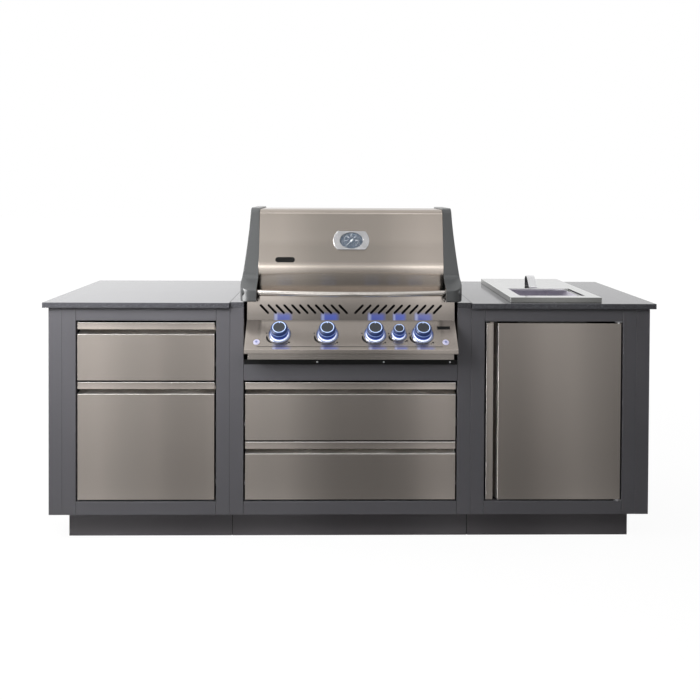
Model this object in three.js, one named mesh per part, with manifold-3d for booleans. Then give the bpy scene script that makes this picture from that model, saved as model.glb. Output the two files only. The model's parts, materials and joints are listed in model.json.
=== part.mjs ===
import * as THREE from "three";
import { mergeVertices } from "three/addons/utils/BufferGeometryUtils.js";
import Module from "manifold-3d";

const wasm = await Module();
wasm.setup();

// An outdoor kitchen island with a built-in gas grill, drawers, a door and a drop-in cooler.
// Millimetres; x runs to the viewer's right, y back from the cabinet fronts, z up from the floor.

// Clearances and cuts
const fit = 0.3; // between two pieces that touch or slide
const overrun = 5; // how far a cut runs past the solid that it cuts
const weld = 0.001; // vertices closer than this are one
const bite = 1; // how far joined pieces reach into each other

// Cabinet modules; the grill's control panel sets the centre module's width
const panelHalf = 390;
const panelToSeam = 64;
const centreWidth = 2 * (panelHalf + panelToSeam);
const sideWidth = 627;
const cabinetDepth = 650;
const cabinetTop = 894;
const kickHeight = 112;
const kickRecess = 75;
const kickSetBack = 50; // of the plinth's rear wall from the cabinet's back
const kickFoot = 30;
const kickSheet = 3;
const shellSheet = 3;
const frameDepth = 25;
const frameSheet = 2.5;
const stileWidth = 52;
const topRail = 50;
const bottomRail = 50;
const midRailTall = 61;
const endPanelWidth = 50;
const endPanelSheet = 3;

const centreSeam = centreWidth / 2;
const sideSeam = centreSeam + sideWidth;
const endFace = sideSeam + endPanelWidth;
const windowLow = kickHeight + bottomRail;
const windowHigh = cabinetTop - topRail;
const modules = {
  left: [-sideSeam, -centreSeam],
  centre: [-centreSeam, centreSeam],
  right: [centreSeam, sideSeam],
};

// Worktop
const topThick = 20;
const topFrontOverhang = 20;
const topBackOverhang = 20;
const topSideOverhang = 17;
const topHigh = cabinetTop + topThick;
const topBack = cabinetDepth + topBackOverhang;
const topEnd = endFace + topSideOverhang;

// Drawer and door fronts, folded from sheet with a finger pull along one edge
const skinSheet = 1.5;
const sideReveal = 6;
const endReveal = 7;
const betweenFronts = 6;
const pullStrip = 26.5;
const pullNose = 8;
const pullDepth = 33;
const pullRise = 12;
const pullLift = 13;
const pullGap = 18.5;
const frontClear = 2.5; // from the pull's sheet to the front's back edge
const frontDepth = pullDepth + skinSheet + frontClear;

// Drawer boxes and their runners
const boxSheet = 2;
const boxRoomBehind = 150; // that a box leaves of the cabinet's depth
const boxDepth = cabinetDepth - boxRoomBehind;
const boxLift = 20;
const boxDrop = 42;
const runnerGap = 12.5; // between the box and the window's edge
const runnerWeb = 3;
const runnerBehindStile = 8;
const runnerLip = 2.5;
const runnerLipReach = 8;
const railTall = 10;
const railReach = 9;
const railLift = 30;
const tieSheet = 3;
const tieTall = 40;

// Door hinges and catch
const pinRadius = 4;
const pinInset = 8; // from the door's edge
const pinDepth = 6.5; // behind the door's face
const pinLength = 24;
const pinBossDepth = 13;
const pinBossTall = 26;
const bracketSheet = 3;
const bracketReach = 14;
const collarRadius = 7.5;
const innerPanelSheet = 1.5;
const catchTall = 40;
const catchDeep = 18;
const catchReach = 28;
const catchOnStile = 30;

// Drop-in cooler
const coolerInset = 148; // from the module's seam
const coolerLeft = centreSeam + coolerInset;
const coolerWidth = 346;
const coolerFront = 2;
const coolerBackGap = 48;
const coolerDepth = cabinetDepth - coolerFront - coolerBackGap;
const coolerRim = 21;
const coolerBorder = 47;
const coolerLedge = 7;
const coolerPlate = 3;
const coolerWall = 12;
const coolerTubDepth = 274; // below the worktop's top
const coolerCutGap = 2;
const lidThick = 9;
const coolerOpen = 216; // of the rim's length that the lid leaves open
const lidLength = coolerDepth - 2 * coolerBorder - coolerOpen;
const deckOverlap = 10;
const lidHandleAcross = 153; // from the cooler's left edge
const lidHandleX = coolerLeft + lidHandleAcross;
const lidHandleWidth = 32;
const lidHandleLong = 80;
const lidHandleTall = 46;
const lidHandleStrap = 3;
const lidHandleTop = 38; // of its level top, from its back
const lidHandleFootTall = 6;
const lidHandleFootRadius = 5;
const lidHandleCorner = 20;
const lidHandleInset = 5;
const drainRadius = 11;
const drainBore = 8;
const drainFlange = 20;
const drainFlangeThick = 3;
const drainLong = 46;

// Grill: its heights are above the worktop's top, where its group stands
const panelPastCasting = 40;
const castingInner = panelHalf - panelPastCasting;
const castingGap = 5; // between the firebox and a casting
const grillHalf = castingInner - castingGap;
const grillSheet = 3;
const boxFront = 112;
const boxBackGap = 110; // from the cabinet's back
const boxBack = cabinetDepth - boxBackGap;
const boxLow = -169;
const boxHigh = 34;
const boxToMidRail = 65; // from the firebox's floor down to the middle rail
const flangeOverlap = 7; // of its flange over the worktop
const flangeReach = centreSeam - stileWidth + flangeOverlap - grillHalf;
const ledgeLow = 20;
const gridLedge = 10;
const gridLedgeHigh = 8;
const ledgeSheet = 4;
const plateLedgeHigh = -30;
const drainHoleX = 170;
const drainHoleY = 110;
const pivotInset = 40; // from the firebox's back
const pivotY = boxBack - pivotInset;
const pivotZ = 71;
const pivotRadius = 6;
const pivotLong = 22;
const earAhead = 22;
const earBehind = 18;
const earFront = pivotY - earAhead;
const earBack = pivotY + earBehind;
const earHigh = 96;
const earSheet = 7;
const midRailHigh = topHigh + boxLow - boxToMidRail;
const midRailLow = midRailHigh - midRailTall;

// Grill: hood
const hoodSheet = 2;
const hoodBendY = 15;
const hoodBendZ = 119;
const hoodBendRadius = 75;
const hoodUndercut = 37; // of its lower edge behind its bend
const hoodTopFront = 62;
const hoodTop = 348;
const hoodFrontRadius = 26;
const hoodTopShort = 170; // from the pivot to the top's back bend
const hoodTopBack = pivotY - hoodTopShort;
const hoodBackRadius = 70;
const hoodTailPast = 22;
const hoodTailY = pivotY + hoodTailPast;
const hoodTailZ = 98;
const castingTopThick = 33;
const castingLowThick = 62.5;
const castingWall = 5;
const castingProud = 6;
const castingLow = 10;
const castingBossRadius = 40;
const castingFlareZ = 80; // below it the casting has its full thickness
const castingFlarePower = 1.4;
const castingShoulderY = 12;
const castingShoulderZ = 94;
const castingShoulderRadius = 30;
const castingBlockFront = -61;
const castingBlockHigh = 53.5;
const castingBlockRadius = 6;
const castingPlanRadius = 40; // of the block's outer front corner, seen from above
const castingPivotBoss = 18;
const handleRadius = 10.5;
const handleWall = 2;
const handleEndY = -40;
const handleZ = 43;
const handleBow = 50;
const handleSeat = 15;

// Hood thermometer, in its own frame: z outward from the hood
const gaugeZ = 229;
const gaugeHalfWide = 68.5;
const gaugeHalfTall = 35.5;
const gaugeEndRadius = 47;
const gaugeThick = 14;
const gaugeRecess = 8;
const dialHalfWide = 44;
const dialHalfTall = 30.5;
const dialThick = 2;
const needleLong = 26;
const needleTail = 9;
const needleWide = 3;
const needleThick = 1.2;
const needleHub = 4;
const needleShaft = 1.6;
const needleFromDial = 0.8;
const needleRest = Math.PI * 0.75; // from straight up to the cold end of the scale

// Grill: control panel
const panelSheet = 2;
const panelTopY = 8;
const panelTopZ = 23;
const panelShoulderZ = 3;
const creaseZ = -66;
const lipY = -98;
const lipHighZ = -157.5;
const lipLowZ = -174.5;
const lipReturn = 22;
const panelEndBack = 60;
const slotCount = 11;
const lastSlotInset = 64.4; // from the panel's end
const slotPitch = (panelHalf - lastSlotInset) / slotCount;
const slotLong = 47;
const slotWide = 8.5;
const slotZ = -26;
const slotTilt = Math.PI / 4;
const knobInset = 81; // of the outer burner and knob from the firebox's side
const knobPitch = (grillHalf - knobInset) / 1.5;
const knobDown = 66; // from the crease, along the slope
const stemRadius = 4;
const stemHole = 6;
const stemLong = 32;
const bezelTall = 5;
const bezelWall = 5;
const buttonInset = 43; // from the panel's end
const buttonX = panelHalf - buttonInset;
const buttonDown = 101;
const buttonRadius = 9;
const buttonProud = 3;
const buttonLong = 18;
const buttonCollar = 12;
const buttonCollarTall = 1.5;

// A knob's outline as radius and height shares of its face radius and its height
const mainKnob = { radius: 31.5, tall: 45, bezel: 42 };
const smallKnob = { radius: 22.5, tall: 40, bezel: 31 };
const knobOutlineShares = [
  [1.1, 0.16],
  [1.1, 0.3],
  [1.0, 0.4],
  [1.0, 0.86],
  [0.88, 0.98],
  [0.8, 1],
];

// Grill: gas manifold and its valves, as depths under the panel's slope
const valveTop = 8;
const valveDeep = 34;
const valveWide = 26;
const valveBoreDeep = 26;
const manifoldRadius = 9;
const manifoldDepth = 44;
const manifoldPast = 46; // past the outer knob
const manifoldHalf = 1.5 * knobPitch + manifoldPast;
const manifoldFootX = knobPitch;
const manifoldFoot = 16;

// Grill: burners, heat plate, grids, rear burner and rack
const burnerRadius = 12.5;
const burnerZ = -54;
const burnerAhead = 16;
const burnerFront = boxFront - burnerAhead;
const burnerWall = 1.5;
const crossTall = 20;
const crossDeep = 14;
const crossFromBack = 6;
const heatPlateSheet = 2;
const heatPlateRise = 22;
const heatPlateHalfShare = 0.3; // of the burner pitch, from a ridge to its foot
const heatSlotWide = 12;
const heatSlotLong = 90;
const heatSlotCount = 3;
const gridThick = 12;
const gridBorder = 12;
const gridBar = 8;
const gridPitch = 21;
const gridCross = 10;
const gridGap = 3;
const rearBurnerTall = 48;
const rearBurnerDeep = 18;
const rearBurnerRecess = 6;
const rearBurnerBorder = 9;
const rackToPivot = 48;
const rackDeep = 122;
const rackBack = pivotY - rackToPivot;
const rackFront = rackBack - rackDeep;
const rackZ = 138;
const rackBar = 6;
const rackPitch = 26;
const rackLegInset = 50;
const rackLegDeep = 24;
const rackLegFront = rackFront + rackLegInset;
const rackLegBack = rackLegFront + rackLegDeep;

// Grill: drip tray and the shelf that carries it
const shelfLipTall = 18;
const shelfHigh = midRailHigh + shelfLipTall;
const shelfSheet = 3;
const shelfPastBox = 20;
const shelfBack = boxBack + shelfPastBox;
const shelfInset = 0.7;
const shelfStepDeep = 20;
const shelfStepTall = 20;
const trayDrop = 11; // from the firebox's floor
const trayTall = 22;
const trayHigh = topHigh + boxLow - trayDrop;
const trayLow = trayHigh - trayTall;
const traySheet = 2;
const trayFrontInset = 10; // from the panel's end
const trayFrontPast = 10;
const trayFrontHalf = panelHalf - trayFrontInset;
const trayHalf = trayFrontHalf - trayFrontPast;
const trayFront = -60;
const trayFrontProud = 4;
const trayFrontTop = trayHigh + trayFrontProud;
const trayShort = 40; // of the firebox's back
const trayBack = boxBack - trayShort;
const shelfRailInset = 18; // from the tray's side
const shelfRailX = trayHalf - shelfRailInset;
const shelfRailWide = 10;

// Materials
function metal(color, roughness, metalness) {
  return new THREE.MeshStandardMaterial({ color, roughness, metalness });
}
const framePaint = metal(0x5a5a5c, 0.6, 0.3);
const shellPaint = metal(0x4c4c4e, 0.7, 0.3);
const stone = metal(0x55565c, 0.25, 0);
const steel = metal(0xa89c92, 0.35, 1);
const casting = metal(0x6c6e6e, 0.5, 0.5);
const zinc = metal(0x9a9a9c, 0.4, 1);
const iron = metal(0x2a2a2b, 0.7, 0.6);
const chrome = metal(0xd0d0d4, 0.12, 1);
const knobGrey = metal(0x4a4c52, 0.5, 0.2);
const dialGlass = metal(0x2c3a48, 0.15, 0.2);
const needlePaint = metal(0xe8e8ea, 0.5, 0);

// Solids from three.js geometry
function solidOf(geometry) {
  const loose = geometry.index ? geometry.toNonIndexed() : geometry;
  const bare = new THREE.BufferGeometry();
  bare.setAttribute("position", loose.getAttribute("position"));
  const merged = mergeVertices(bare, weld);
  const corners = merged.index.array;
  const triangles = [];
  for (let i = 0; i < corners.length; i += 3) {
    const [a, b, c] = corners.slice(i, i + 3);
    if (a !== b && b !== c && c !== a) triangles.push(a, b, c);
  }
  return new wasm.Manifold(
    new wasm.Mesh({
      numProp: 3,
      vertProperties: merged.getAttribute("position").array,
      triVerts: new Uint32Array(triangles),
    }),
  );
}

function joined(solids) {
  return solids.reduce((sum, next) => sum.add(next));
}

function cut(solid, cutters) {
  return cutters.reduce((rest, cutter) => rest.subtract(cutter), solid);
}

function box([x0, x1], [y0, y1], [z0, z1], frame) {
  const geometry = new THREE.BoxGeometry(x1 - x0, y1 - y0, z1 - z0);
  geometry.translate((x0 + x1) / 2, (y0 + y1) / 2, (z0 + z1) / 2);
  return solidOf(frame ? geometry.applyMatrix4(frame) : geometry);
}

function extruded(outline, depth) {
  const shape = new THREE.Shape(outline.map(([a, b]) => new THREE.Vector2(a, b)));
  return new THREE.ExtrudeGeometry(shape, { depth, bevelEnabled: false });
}

// An outline of [y, z] points, extruded along x
const shapeToX = new THREE.Matrix4().set(0, 0, 1, 0, 1, 0, 0, 0, 0, 1, 0, 0, 0, 0, 0, 1);
function prismX(outline, [x0, x1]) {
  return extruded(outline, x1 - x0).applyMatrix4(shapeToX).translate(x0, 0, 0);
}

// An outline of [z, x] points, extruded along y
const shapeToY = new THREE.Matrix4().set(0, 1, 0, 0, 0, 0, 1, 0, 1, 0, 0, 0, 0, 0, 0, 1);
function prismY(outline, [y0, y1]) {
  return extruded(outline, y1 - y0).applyMatrix4(shapeToY).translate(0, y0, 0);
}

// An outline of [x, y] points, extruded along z
function prismZ(outline, [z0, z1]) {
  return extruded(outline, z1 - z0).translate(0, 0, z0);
}

// A profile of [radius, height] points, turned about z
function turned(profile, sides) {
  const points = profile.map(([radius, height]) => new THREE.Vector2(radius, height));
  return new THREE.LatheGeometry(points, sides).rotateX(Math.PI / 2);
}

function rod(radius, [z0, z1], sides) {
  return turned([[0, z0], [radius, z0], [radius, z1], [0, z1]], sides);
}

// A rod along x through the point (y, z)
function rodX(radius, [x0, x1], y, z, sides) {
  return solidOf(rod(radius, [x0, x1], sides).rotateY(Math.PI / 2).translate(0, y, z));
}

// Points [a, b, radius] with each corner's radius as an arc; the first and last points stay
function rounded(corners, steps) {
  const out = [];
  corners.forEach(([a, b, radius = 0], i) => {
    if (!radius) {
      out.push([a, b]);
      return;
    }
    const here = new THREE.Vector2(a, b);
    const before = corners[(i + corners.length - 1) % corners.length];
    const after = corners[(i + 1) % corners.length];
    const back = new THREE.Vector2(before[0] - a, before[1] - b).normalize();
    const on = new THREE.Vector2(after[0] - a, after[1] - b).normalize();
    const half = Math.acos(THREE.MathUtils.clamp(back.dot(on), -1, 1)) / 2;
    const centre = back.clone().add(on).normalize().multiplyScalar(radius / Math.sin(half)).add(here);
    const first = back.multiplyScalar(radius / Math.tan(half)).add(here).sub(centre);
    const last = on.multiplyScalar(radius / Math.tan(half)).add(here).sub(centre);
    const turn = Math.atan2(first.cross(last), first.dot(last));
    for (let step = 0; step <= steps; step += 1) {
      const point = first.clone().rotateAround(new THREE.Vector2(), (turn * step) / steps).add(centre);
      out.push([point.x, point.y]);
    }
  });
  return out;
}

// The points moved sideways by a distance, to the left of their direction, with mitred corners
function offset(points, distance, closed) {
  const count = points.length;
  const normal = (i, j) => {
    const [a, b] = [points[(i + count) % count], points[(j + count) % count]];
    return new THREE.Vector2(a[1] - b[1], b[0] - a[0]).normalize();
  };
  return points.map(([a, b], i) => {
    const before = closed || i > 0 ? normal(i - 1, i) : normal(i, i + 1);
    const after = closed || i < count - 1 ? normal(i, i + 1) : before;
    const mitre = before.clone().add(after).normalize();
    mitre.multiplyScalar(distance / mitre.dot(before));
    return [a + mitre.x, b + mitre.y];
  });
}

// The closed outline of a sheet that has these points on one side and its thickness on their left
function sheet(points, thickness) {
  return [...points, ...offset(points, thickness, false).reverse()];
}

// The island and its pieces; the grill's group stands on the worktop's top
const island = new THREE.Group();
const grill = new THREE.Group();
grill.position.z = topHigh;
island.add(grill);

function part(name, solid, material, parent = island) {
  const { vertProperties, triVerts } = solid.getMesh();
  const geometry = new THREE.BufferGeometry();
  geometry.setAttribute("position", new THREE.BufferAttribute(vertProperties, 3));
  geometry.setIndex(new THREE.BufferAttribute(triVerts, 1));
  geometry.computeVertexNormals();
  const mesh = new THREE.Mesh(geometry, material);
  mesh.name = name;
  parent.add(mesh);
}

// Cabinets: a plinth, a shell open at the front and top, and a folded face frame in each module
function plinth([x0, x1]) {
  const outer = [x0 + fit / 2, x1 - fit / 2];
  const back = cabinetDepth - kickSetBack;
  const inset = (by) => [
    [outer[0] + by, outer[1] - by],
    [kickRecess + by, back - by],
  ];
  return cut(box(outer, [kickRecess, back], [0, kickHeight]), [
    box(...inset(kickFoot), [-overrun, kickHeight + overrun]),
    box(...inset(kickSheet), [kickSheet, kickHeight + overrun]),
  ]);
}

function shell([x0, x1], extra = []) {
  const outer = [x0 + fit / 2, x1 - fit / 2];
  const front = frameDepth + fit;
  const inner = [outer[0] + shellSheet, outer[1] - shellSheet];
  const hollow = box(
    inner,
    [front - overrun, cabinetDepth - shellSheet],
    [kickHeight + shellSheet, cabinetTop + overrun],
  );
  const walls = box(outer, [front, cabinetDepth], [kickHeight, cabinetTop]);
  return joined([cut(walls, [hollow]), ...extra]);
}

// Each window is [low, high]; rails fill what is left between them
function faceFrame([x0, x1], windows) {
  const outer = [x0 + fit / 2, x1 - fit / 2];
  const open = [x0 + stileWidth, x1 - stileWidth];
  const through = [-overrun, frameDepth + overrun];
  const behind = [frameSheet, frameDepth + overrun];
  const cutters = windows.map((window) => box(open, through, window));
  const stiles = [
    [outer[0] + frameSheet, open[0] - frameSheet],
    [open[1] + frameSheet, outer[1] - frameSheet],
  ];
  stiles.forEach((x) => {
    cutters.push(box(x, behind, [kickHeight + frameSheet, cabinetTop - frameSheet]));
  });
  const edges = [kickHeight, ...windows.flat(), cabinetTop];
  for (let i = 0; i < edges.length; i += 2) {
    const [low, high] = [edges[i] + frameSheet, edges[i + 1] - frameSheet];
    if (high > low) cutters.push(box(open, behind, [low, high]));
  }
  return cut(box(outer, [0, frameDepth], [kickHeight, cabinetTop]), cutters);
}

function endPanel(side) {
  const [near, far] = [sideSeam + fit / 2, endFace];
  const across = (from, to) => (side < 0 ? [-to, -from] : [from, to]);
  const pocket = box(
    across(near - overrun, far - endPanelSheet),
    [endPanelSheet, cabinetDepth - endPanelSheet],
    [kickHeight + endPanelSheet, cabinetTop - endPanelSheet],
  );
  return cut(box(across(near, far), [0, cabinetDepth], [kickHeight, cabinetTop]), [pocket]);
}

const sideWindow = [[windowLow, windowHigh]];
const centreWindows = [
  [windowLow, midRailLow],
  [midRailHigh, cabinetTop + overrun],
];
const shelfStep = box(
  [-centreSeam + shellSheet, centreSeam - shellSheet],
  [shelfBack - shelfStepDeep, cabinetDepth],
  [midRailHigh - shelfStepTall, midRailHigh - fit],
);
Object.entries(modules).forEach(([name, x]) => {
  const centre = name === "centre";
  part(name + "_kick_plinth", plinth(x), shellPaint);
  part(name + "_cabinet_shell", shell(x, centre ? [shelfStep] : []), shellPaint);
  part(name + "_face_frame", faceFrame(x, centre ? centreWindows : sideWindow), framePaint);
});
part("left_end_panel", endPanel(-1), framePaint);
part("right_end_panel", endPanel(1), framePaint);

// Worktops: two side tops, and one round three sides of the grill
const topZ = [cabinetTop, topHigh];
const coolerX = [coolerLeft, coolerLeft + coolerWidth];
const coolerY = [coolerFront, coolerFront + coolerDepth];
const lidX = [coolerX[0] + coolerBorder, coolerX[1] - coolerBorder];
const lidTrack = [coolerY[0] + coolerBorder, coolerY[1] - coolerBorder];
const tubX = [lidX[0] + coolerLedge, lidX[1] - coolerLedge];
const tubY = [lidTrack[0] + coolerLedge, lidTrack[1] - coolerLedge];
const grown = ([low, high], by) => [low - by, high + by];
const coolerHole = box(
  grown(tubX, coolerWall + coolerCutGap),
  grown(tubY, coolerWall + coolerCutGap),
  grown(topZ, overrun),
);
const sideTopY = [-topFrontOverhang, topBack];
part("left_worktop", box([-topEnd, -centreSeam - fit / 2], sideTopY, topZ), stone);
part("right_worktop", cut(box([centreSeam + fit / 2, topEnd], sideTopY, topZ), [coolerHole]), stone);
const grillBay = [-centreSeam + stileWidth, centreSeam - stileWidth];
part(
  "centre_worktop",
  cut(box([-centreSeam + fit / 2, centreSeam - fit / 2], [0, topBack], topZ), [
    box(grillBay, [-overrun, boxBack + stileWidth / 2], grown(topZ, overrun)),
  ]),
  stone,
);

// Fronts: the section of a folded front, [depth, height], with its pull along the top
function pullSection(height, gap) {
  const stripLow = height - pullStrip;
  const faceHigh = stripLow - gap;
  return [
    [frontDepth, 0],
    [0, 0],
    [0, faceHigh],
    [pullDepth, faceHigh + pullRise],
    [pullDepth, stripLow + pullLift],
    [pullNose, stripLow + pullLift],
    [pullNose, stripLow],
    [0, stripLow],
    [0, height],
    [frontDepth, height],
  ];
}

function foldedSection(height, gap) {
  return sheet(pullSection(height, gap).reverse(), skinSheet);
}

const sideFlangeTop = (height, gap) => height - pullStrip - gap - skinSheet;

function drawerFront(x, [low, high]) {
  const tall = high - low;
  const face = solidOf(prismX(foldedSection(tall, pullGap), x));
  const flangeZ = [0, sideFlangeTop(tall, pullGap)];
  const flanges = [
    box([x[0], x[0] + skinSheet], [0, frontDepth], flangeZ),
    box([x[1] - skinSheet, x[1]], [0, frontDepth], flangeZ),
  ];
  return joined([face, ...flanges]).translate(0, 0, low);
}

const boxFrontY = frontDepth + fit;
function drawerBox(window, [low, high]) {
  const x = grown(window, -runnerGap);
  const z = [low + boxLift, high - boxDrop];
  const y = [boxFrontY, boxFrontY + boxDepth];
  const hollow = box(grown(x, -boxSheet), grown(y, -boxSheet), [z[0] + boxSheet, z[1] + overrun]);
  const rail = box(grown(x, railReach), y, [z[0] + railLift, z[0] + railLift + railTall]);
  return cut(joined([box(x, y, z), rail]), [hollow]);
}

function runnerCradle(window, [low]) {
  const railZ = low + boxLift + railLift;
  const y = [boxFrontY + fit, boxFrontY + boxDepth];
  const back = cabinetDepth - shellSheet - fit;
  const webY = [frameDepth + fit, back];
  const inner = [railZ - fit, railZ + railTall + fit];
  const web = grown(inner, runnerLip);
  const left = [window[0] - runnerBehindStile, window[0] + runnerWeb];
  const right = [window[1] - runnerWeb, window[1] + runnerBehindStile];
  const lips = [
    [inner[0] - runnerLip, inner[0]],
    [inner[1], inner[1] + runnerLip],
  ];
  const tie = box([left[0], right[1]], [back - tieSheet, back], [web[0], web[0] + tieTall]);
  return joined([
    box(left, webY, web),
    box(right, webY, web),
    ...lips.map((z) => box([left[1] - bite, left[1] + runnerLipReach], y, z)),
    ...lips.map((z) => box([right[0] - runnerLipReach, right[0] + bite], y, z)),
    tie,
  ]);
}

const drawerTall = (midRailLow - windowLow - 2 * endReveal - betweenFronts) / 2;
const leftWindow = [modules.left[0] + stileWidth, modules.left[1] - stileWidth];
const upperLeft = windowHigh - endReveal - drawerTall;
const drawers = {
  left_upper: [leftWindow, [upperLeft, windowHigh - endReveal]],
  left_lower: [leftWindow, [windowLow + endReveal, upperLeft - betweenFronts]],
  centre_upper: [grillBay, [midRailLow - endReveal - drawerTall, midRailLow - endReveal]],
  centre_lower: [grillBay, [windowLow + endReveal, windowLow + endReveal + drawerTall]],
};
Object.entries(drawers).forEach(([name, [window, z]]) => {
  part(name + "_drawer_front", drawerFront(grown(window, -sideReveal), z), steel);
  part(name + "_drawer_box", drawerBox(window, z), zinc);
  part(name + "_drawer_runners", runnerCradle(window, z), zinc);
});

// Door: the same folded front turned on its side, with the pull at the left and pins at the right
const rightWindow = [modules.right[0] + stileWidth, modules.right[1] - stileWidth];
const doorX = grown(rightWindow, -sideReveal);
const doorZ = [windowLow + endReveal, windowHigh - endReveal];
const pinX = doorX[1] - pinInset;
const turnToDoor = ([depth, along]) => [doorX[1] - along, depth];

function pinAt(radius, z, sides) {
  return solidOf(rod(radius, z, sides).translate(pinX, pinDepth, 0));
}

function doorFront() {
  const wide = doorX[1] - doorX[0];
  const section = foldedSection(wide, pullGap).map(turnToDoor);
  const faceX = [doorX[1] - sideFlangeTop(wide, pullGap), doorX[1]];
  const bossX = [pinX - pinInset, doorX[1]];
  const pieces = [solidOf(prismZ(section, doorZ))];
  [
    [doorZ[0], doorZ[0] + skinSheet, doorZ[0] + pinBossTall],
    [doorZ[1] - skinSheet, doorZ[1], doorZ[1] - pinBossTall],
  ].forEach(([low, high, bossEnd]) => {
    pieces.push(box(faceX, [0, frontDepth], [low, high]));
    pieces.push(box(bossX, [0, pinBossDepth], [Math.min(low, bossEnd), Math.max(high, bossEnd)]));
  });
  const bores = [
    pinAt(pinRadius + fit, [doorZ[0] - overrun, doorZ[0] + pinLength], 20),
    pinAt(pinRadius + fit, [doorZ[1] - pinLength, doorZ[1] + overrun], 20),
  ];
  return cut(joined(pieces), bores);
}

function hingeBracket(upper) {
  const rail = upper ? windowHigh - fit : windowLow + fit;
  const inward = upper ? -1 : 1;
  const doorEdge = upper ? doorZ[1] : doorZ[0];
  const ordered = (a, b) => [Math.min(a, b), Math.max(a, b)];
  const plateX = [pinX - bracketReach, rightWindow[1] - fit];
  const plate = box(plateX, [frameSheet, frameDepth], ordered(rail, rail + inward * bracketSheet));
  const root = rail + inward * bite;
  const pin = pinAt(pinRadius, ordered(root, doorEdge + inward * (pinLength - fit * 2)), 20);
  const collar = pinAt(collarRadius, ordered(root, doorEdge - inward * fit), 20);
  return joined(upper ? [plate, pin] : [plate, pin, collar]);
}

const catchZ = (doorZ[0] + doorZ[1]) / 2;
const catchTallZ = [catchZ - catchTall / 2, catchZ + catchTall / 2];
const catchBackY = frontDepth + innerPanelSheet + fit * 2;
const catchTongueY = [catchBackY + fit, catchBackY + catchDeep];
const catchArm = [rightWindow[0] - catchOnStile, rightWindow[0] - sideReveal];
part("door_front", doorFront(), steel);
part(
  "door_inner_panel",
  box(grown(doorX, -skinSheet), [frontDepth + fit, frontDepth + fit + innerPanelSheet], doorZ),
  zinc,
);
part("door_upper_hinge", hingeBracket(true), zinc);
part("door_lower_hinge", hingeBracket(false), zinc);
part(
  "door_catch",
  joined([
    box(catchArm, [frameDepth + fit, catchBackY + catchDeep], catchTallZ),
    box([catchArm[0], rightWindow[0] + catchReach], catchTongueY, catchTallZ),
  ]),
  iron,
);

// Drop-in cooler: a double-walled tub under a rim plate, with a lid that slides in the rim
const rimZ = [topHigh + fit, topHigh + coolerRim];
const trackZ = rimZ[1] - lidThick - fit;
const tubLow = topHigh - coolerTubDepth;
const tubFloor = tubLow + coolerWall;
const deckFront = lidTrack[0] + lidLength - deckOverlap;
const drainX = (tubX[0] + tubX[1]) / 2;
const drainY = (tubY[0] + tubY[1]) / 2;

function coolerTub() {
  const drainHoleZ = [tubLow - overrun, tubFloor + overrun];
  const rim = box(coolerX, coolerY, rimZ);
  const body = box(grown(tubX, coolerWall), grown(tubY, coolerWall), [tubLow, rimZ[0] + fit]);
  return cut(joined([rim, body]), [
    box(lidX, lidTrack, [trackZ, rimZ[1] + overrun]),
    box(tubX, [tubY[0], deckFront], [tubFloor, trackZ + overrun]),
    box(tubX, tubY, [tubFloor, trackZ - coolerPlate]),
    solidOf(rod(drainRadius + fit, drainHoleZ, 20).translate(drainX, drainY, 0)),
  ]);
}

const lidBack = lidTrack[1] - fit;
const lidFront = lidBack - lidLength;
const lidHandleFoot = lidFront + lidHandleInset;

function lidHandle() {
  const [front, back] = [lidHandleFoot, lidHandleFoot + lidHandleLong];
  const low = rimZ[1] + fit;
  const high = low + lidHandleTall;
  const line = [
    [back, low],
    [back, high, lidHandleCorner],
    [back - lidHandleTop, high, lidHandleCorner],
    [front, low + lidHandleFootTall, lidHandleFootRadius],
    [front, low],
  ];
  const strap = sheet(rounded(line, 6), lidHandleStrap);
  return solidOf(prismX(strap, grown([lidHandleX, lidHandleX], lidHandleWidth / 2)));
}

function drainFitting() {
  const flangeZ = [tubFloor + fit, tubFloor + fit + drainFlangeThick];
  const profile = [
    [drainBore, flangeZ[1] - drainLong],
    [drainRadius, flangeZ[1] - drainLong],
    [drainRadius, flangeZ[0]],
    [drainFlange, flangeZ[0]],
    [drainFlange, flangeZ[1]],
    [drainBore, flangeZ[1]],
    [drainBore, flangeZ[1] - drainLong],
  ];
  return solidOf(turned(profile, 20).translate(drainX, drainY, 0));
}

part("cooler_tub", coolerTub(), steel);
part("cooler_lid", box(grown(lidX, -fit), [lidFront, lidBack], [trackZ + fit, rimZ[1]]), steel);
part("cooler_lid_handle", lidHandle(), steel);
part("cooler_drain", drainFitting(), chrome);

// Firebox: open at the top, hung by its side flanges, with ledges inside and an ear at each pivot
const boxX = [-grillHalf, grillHalf];
const boxY = [boxFront, boxBack];
const innerX = grown(boxX, -grillSheet);
const innerY = grown(boxY, -grillSheet);
const burnerXs = [-1.5 * knobPitch, -knobPitch / 2, knobPitch / 2, 1.5 * knobPitch];

function alongY(radius, x, y, z, sides) {
  return solidOf(rod(radius, y, sides).rotateX(-Math.PI / 2).translate(x, 0, z));
}

function innerLedges(high, reach, depth) {
  return [
    box(innerX, [innerY[0] - fit, innerY[0] + reach], [high - depth, high]),
    box(innerX, [innerY[1] - reach, innerY[1] + fit], [high - depth, high]),
  ];
}

const crossY = [innerY[1] - crossFromBack - crossDeep, innerY[1] - crossFromBack];
const crossZ = grown([burnerZ, burnerZ], crossTall / 2);
const crossLedgeZ = [crossZ[0] - fit - ledgeSheet, crossZ[0] - fit];

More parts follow.
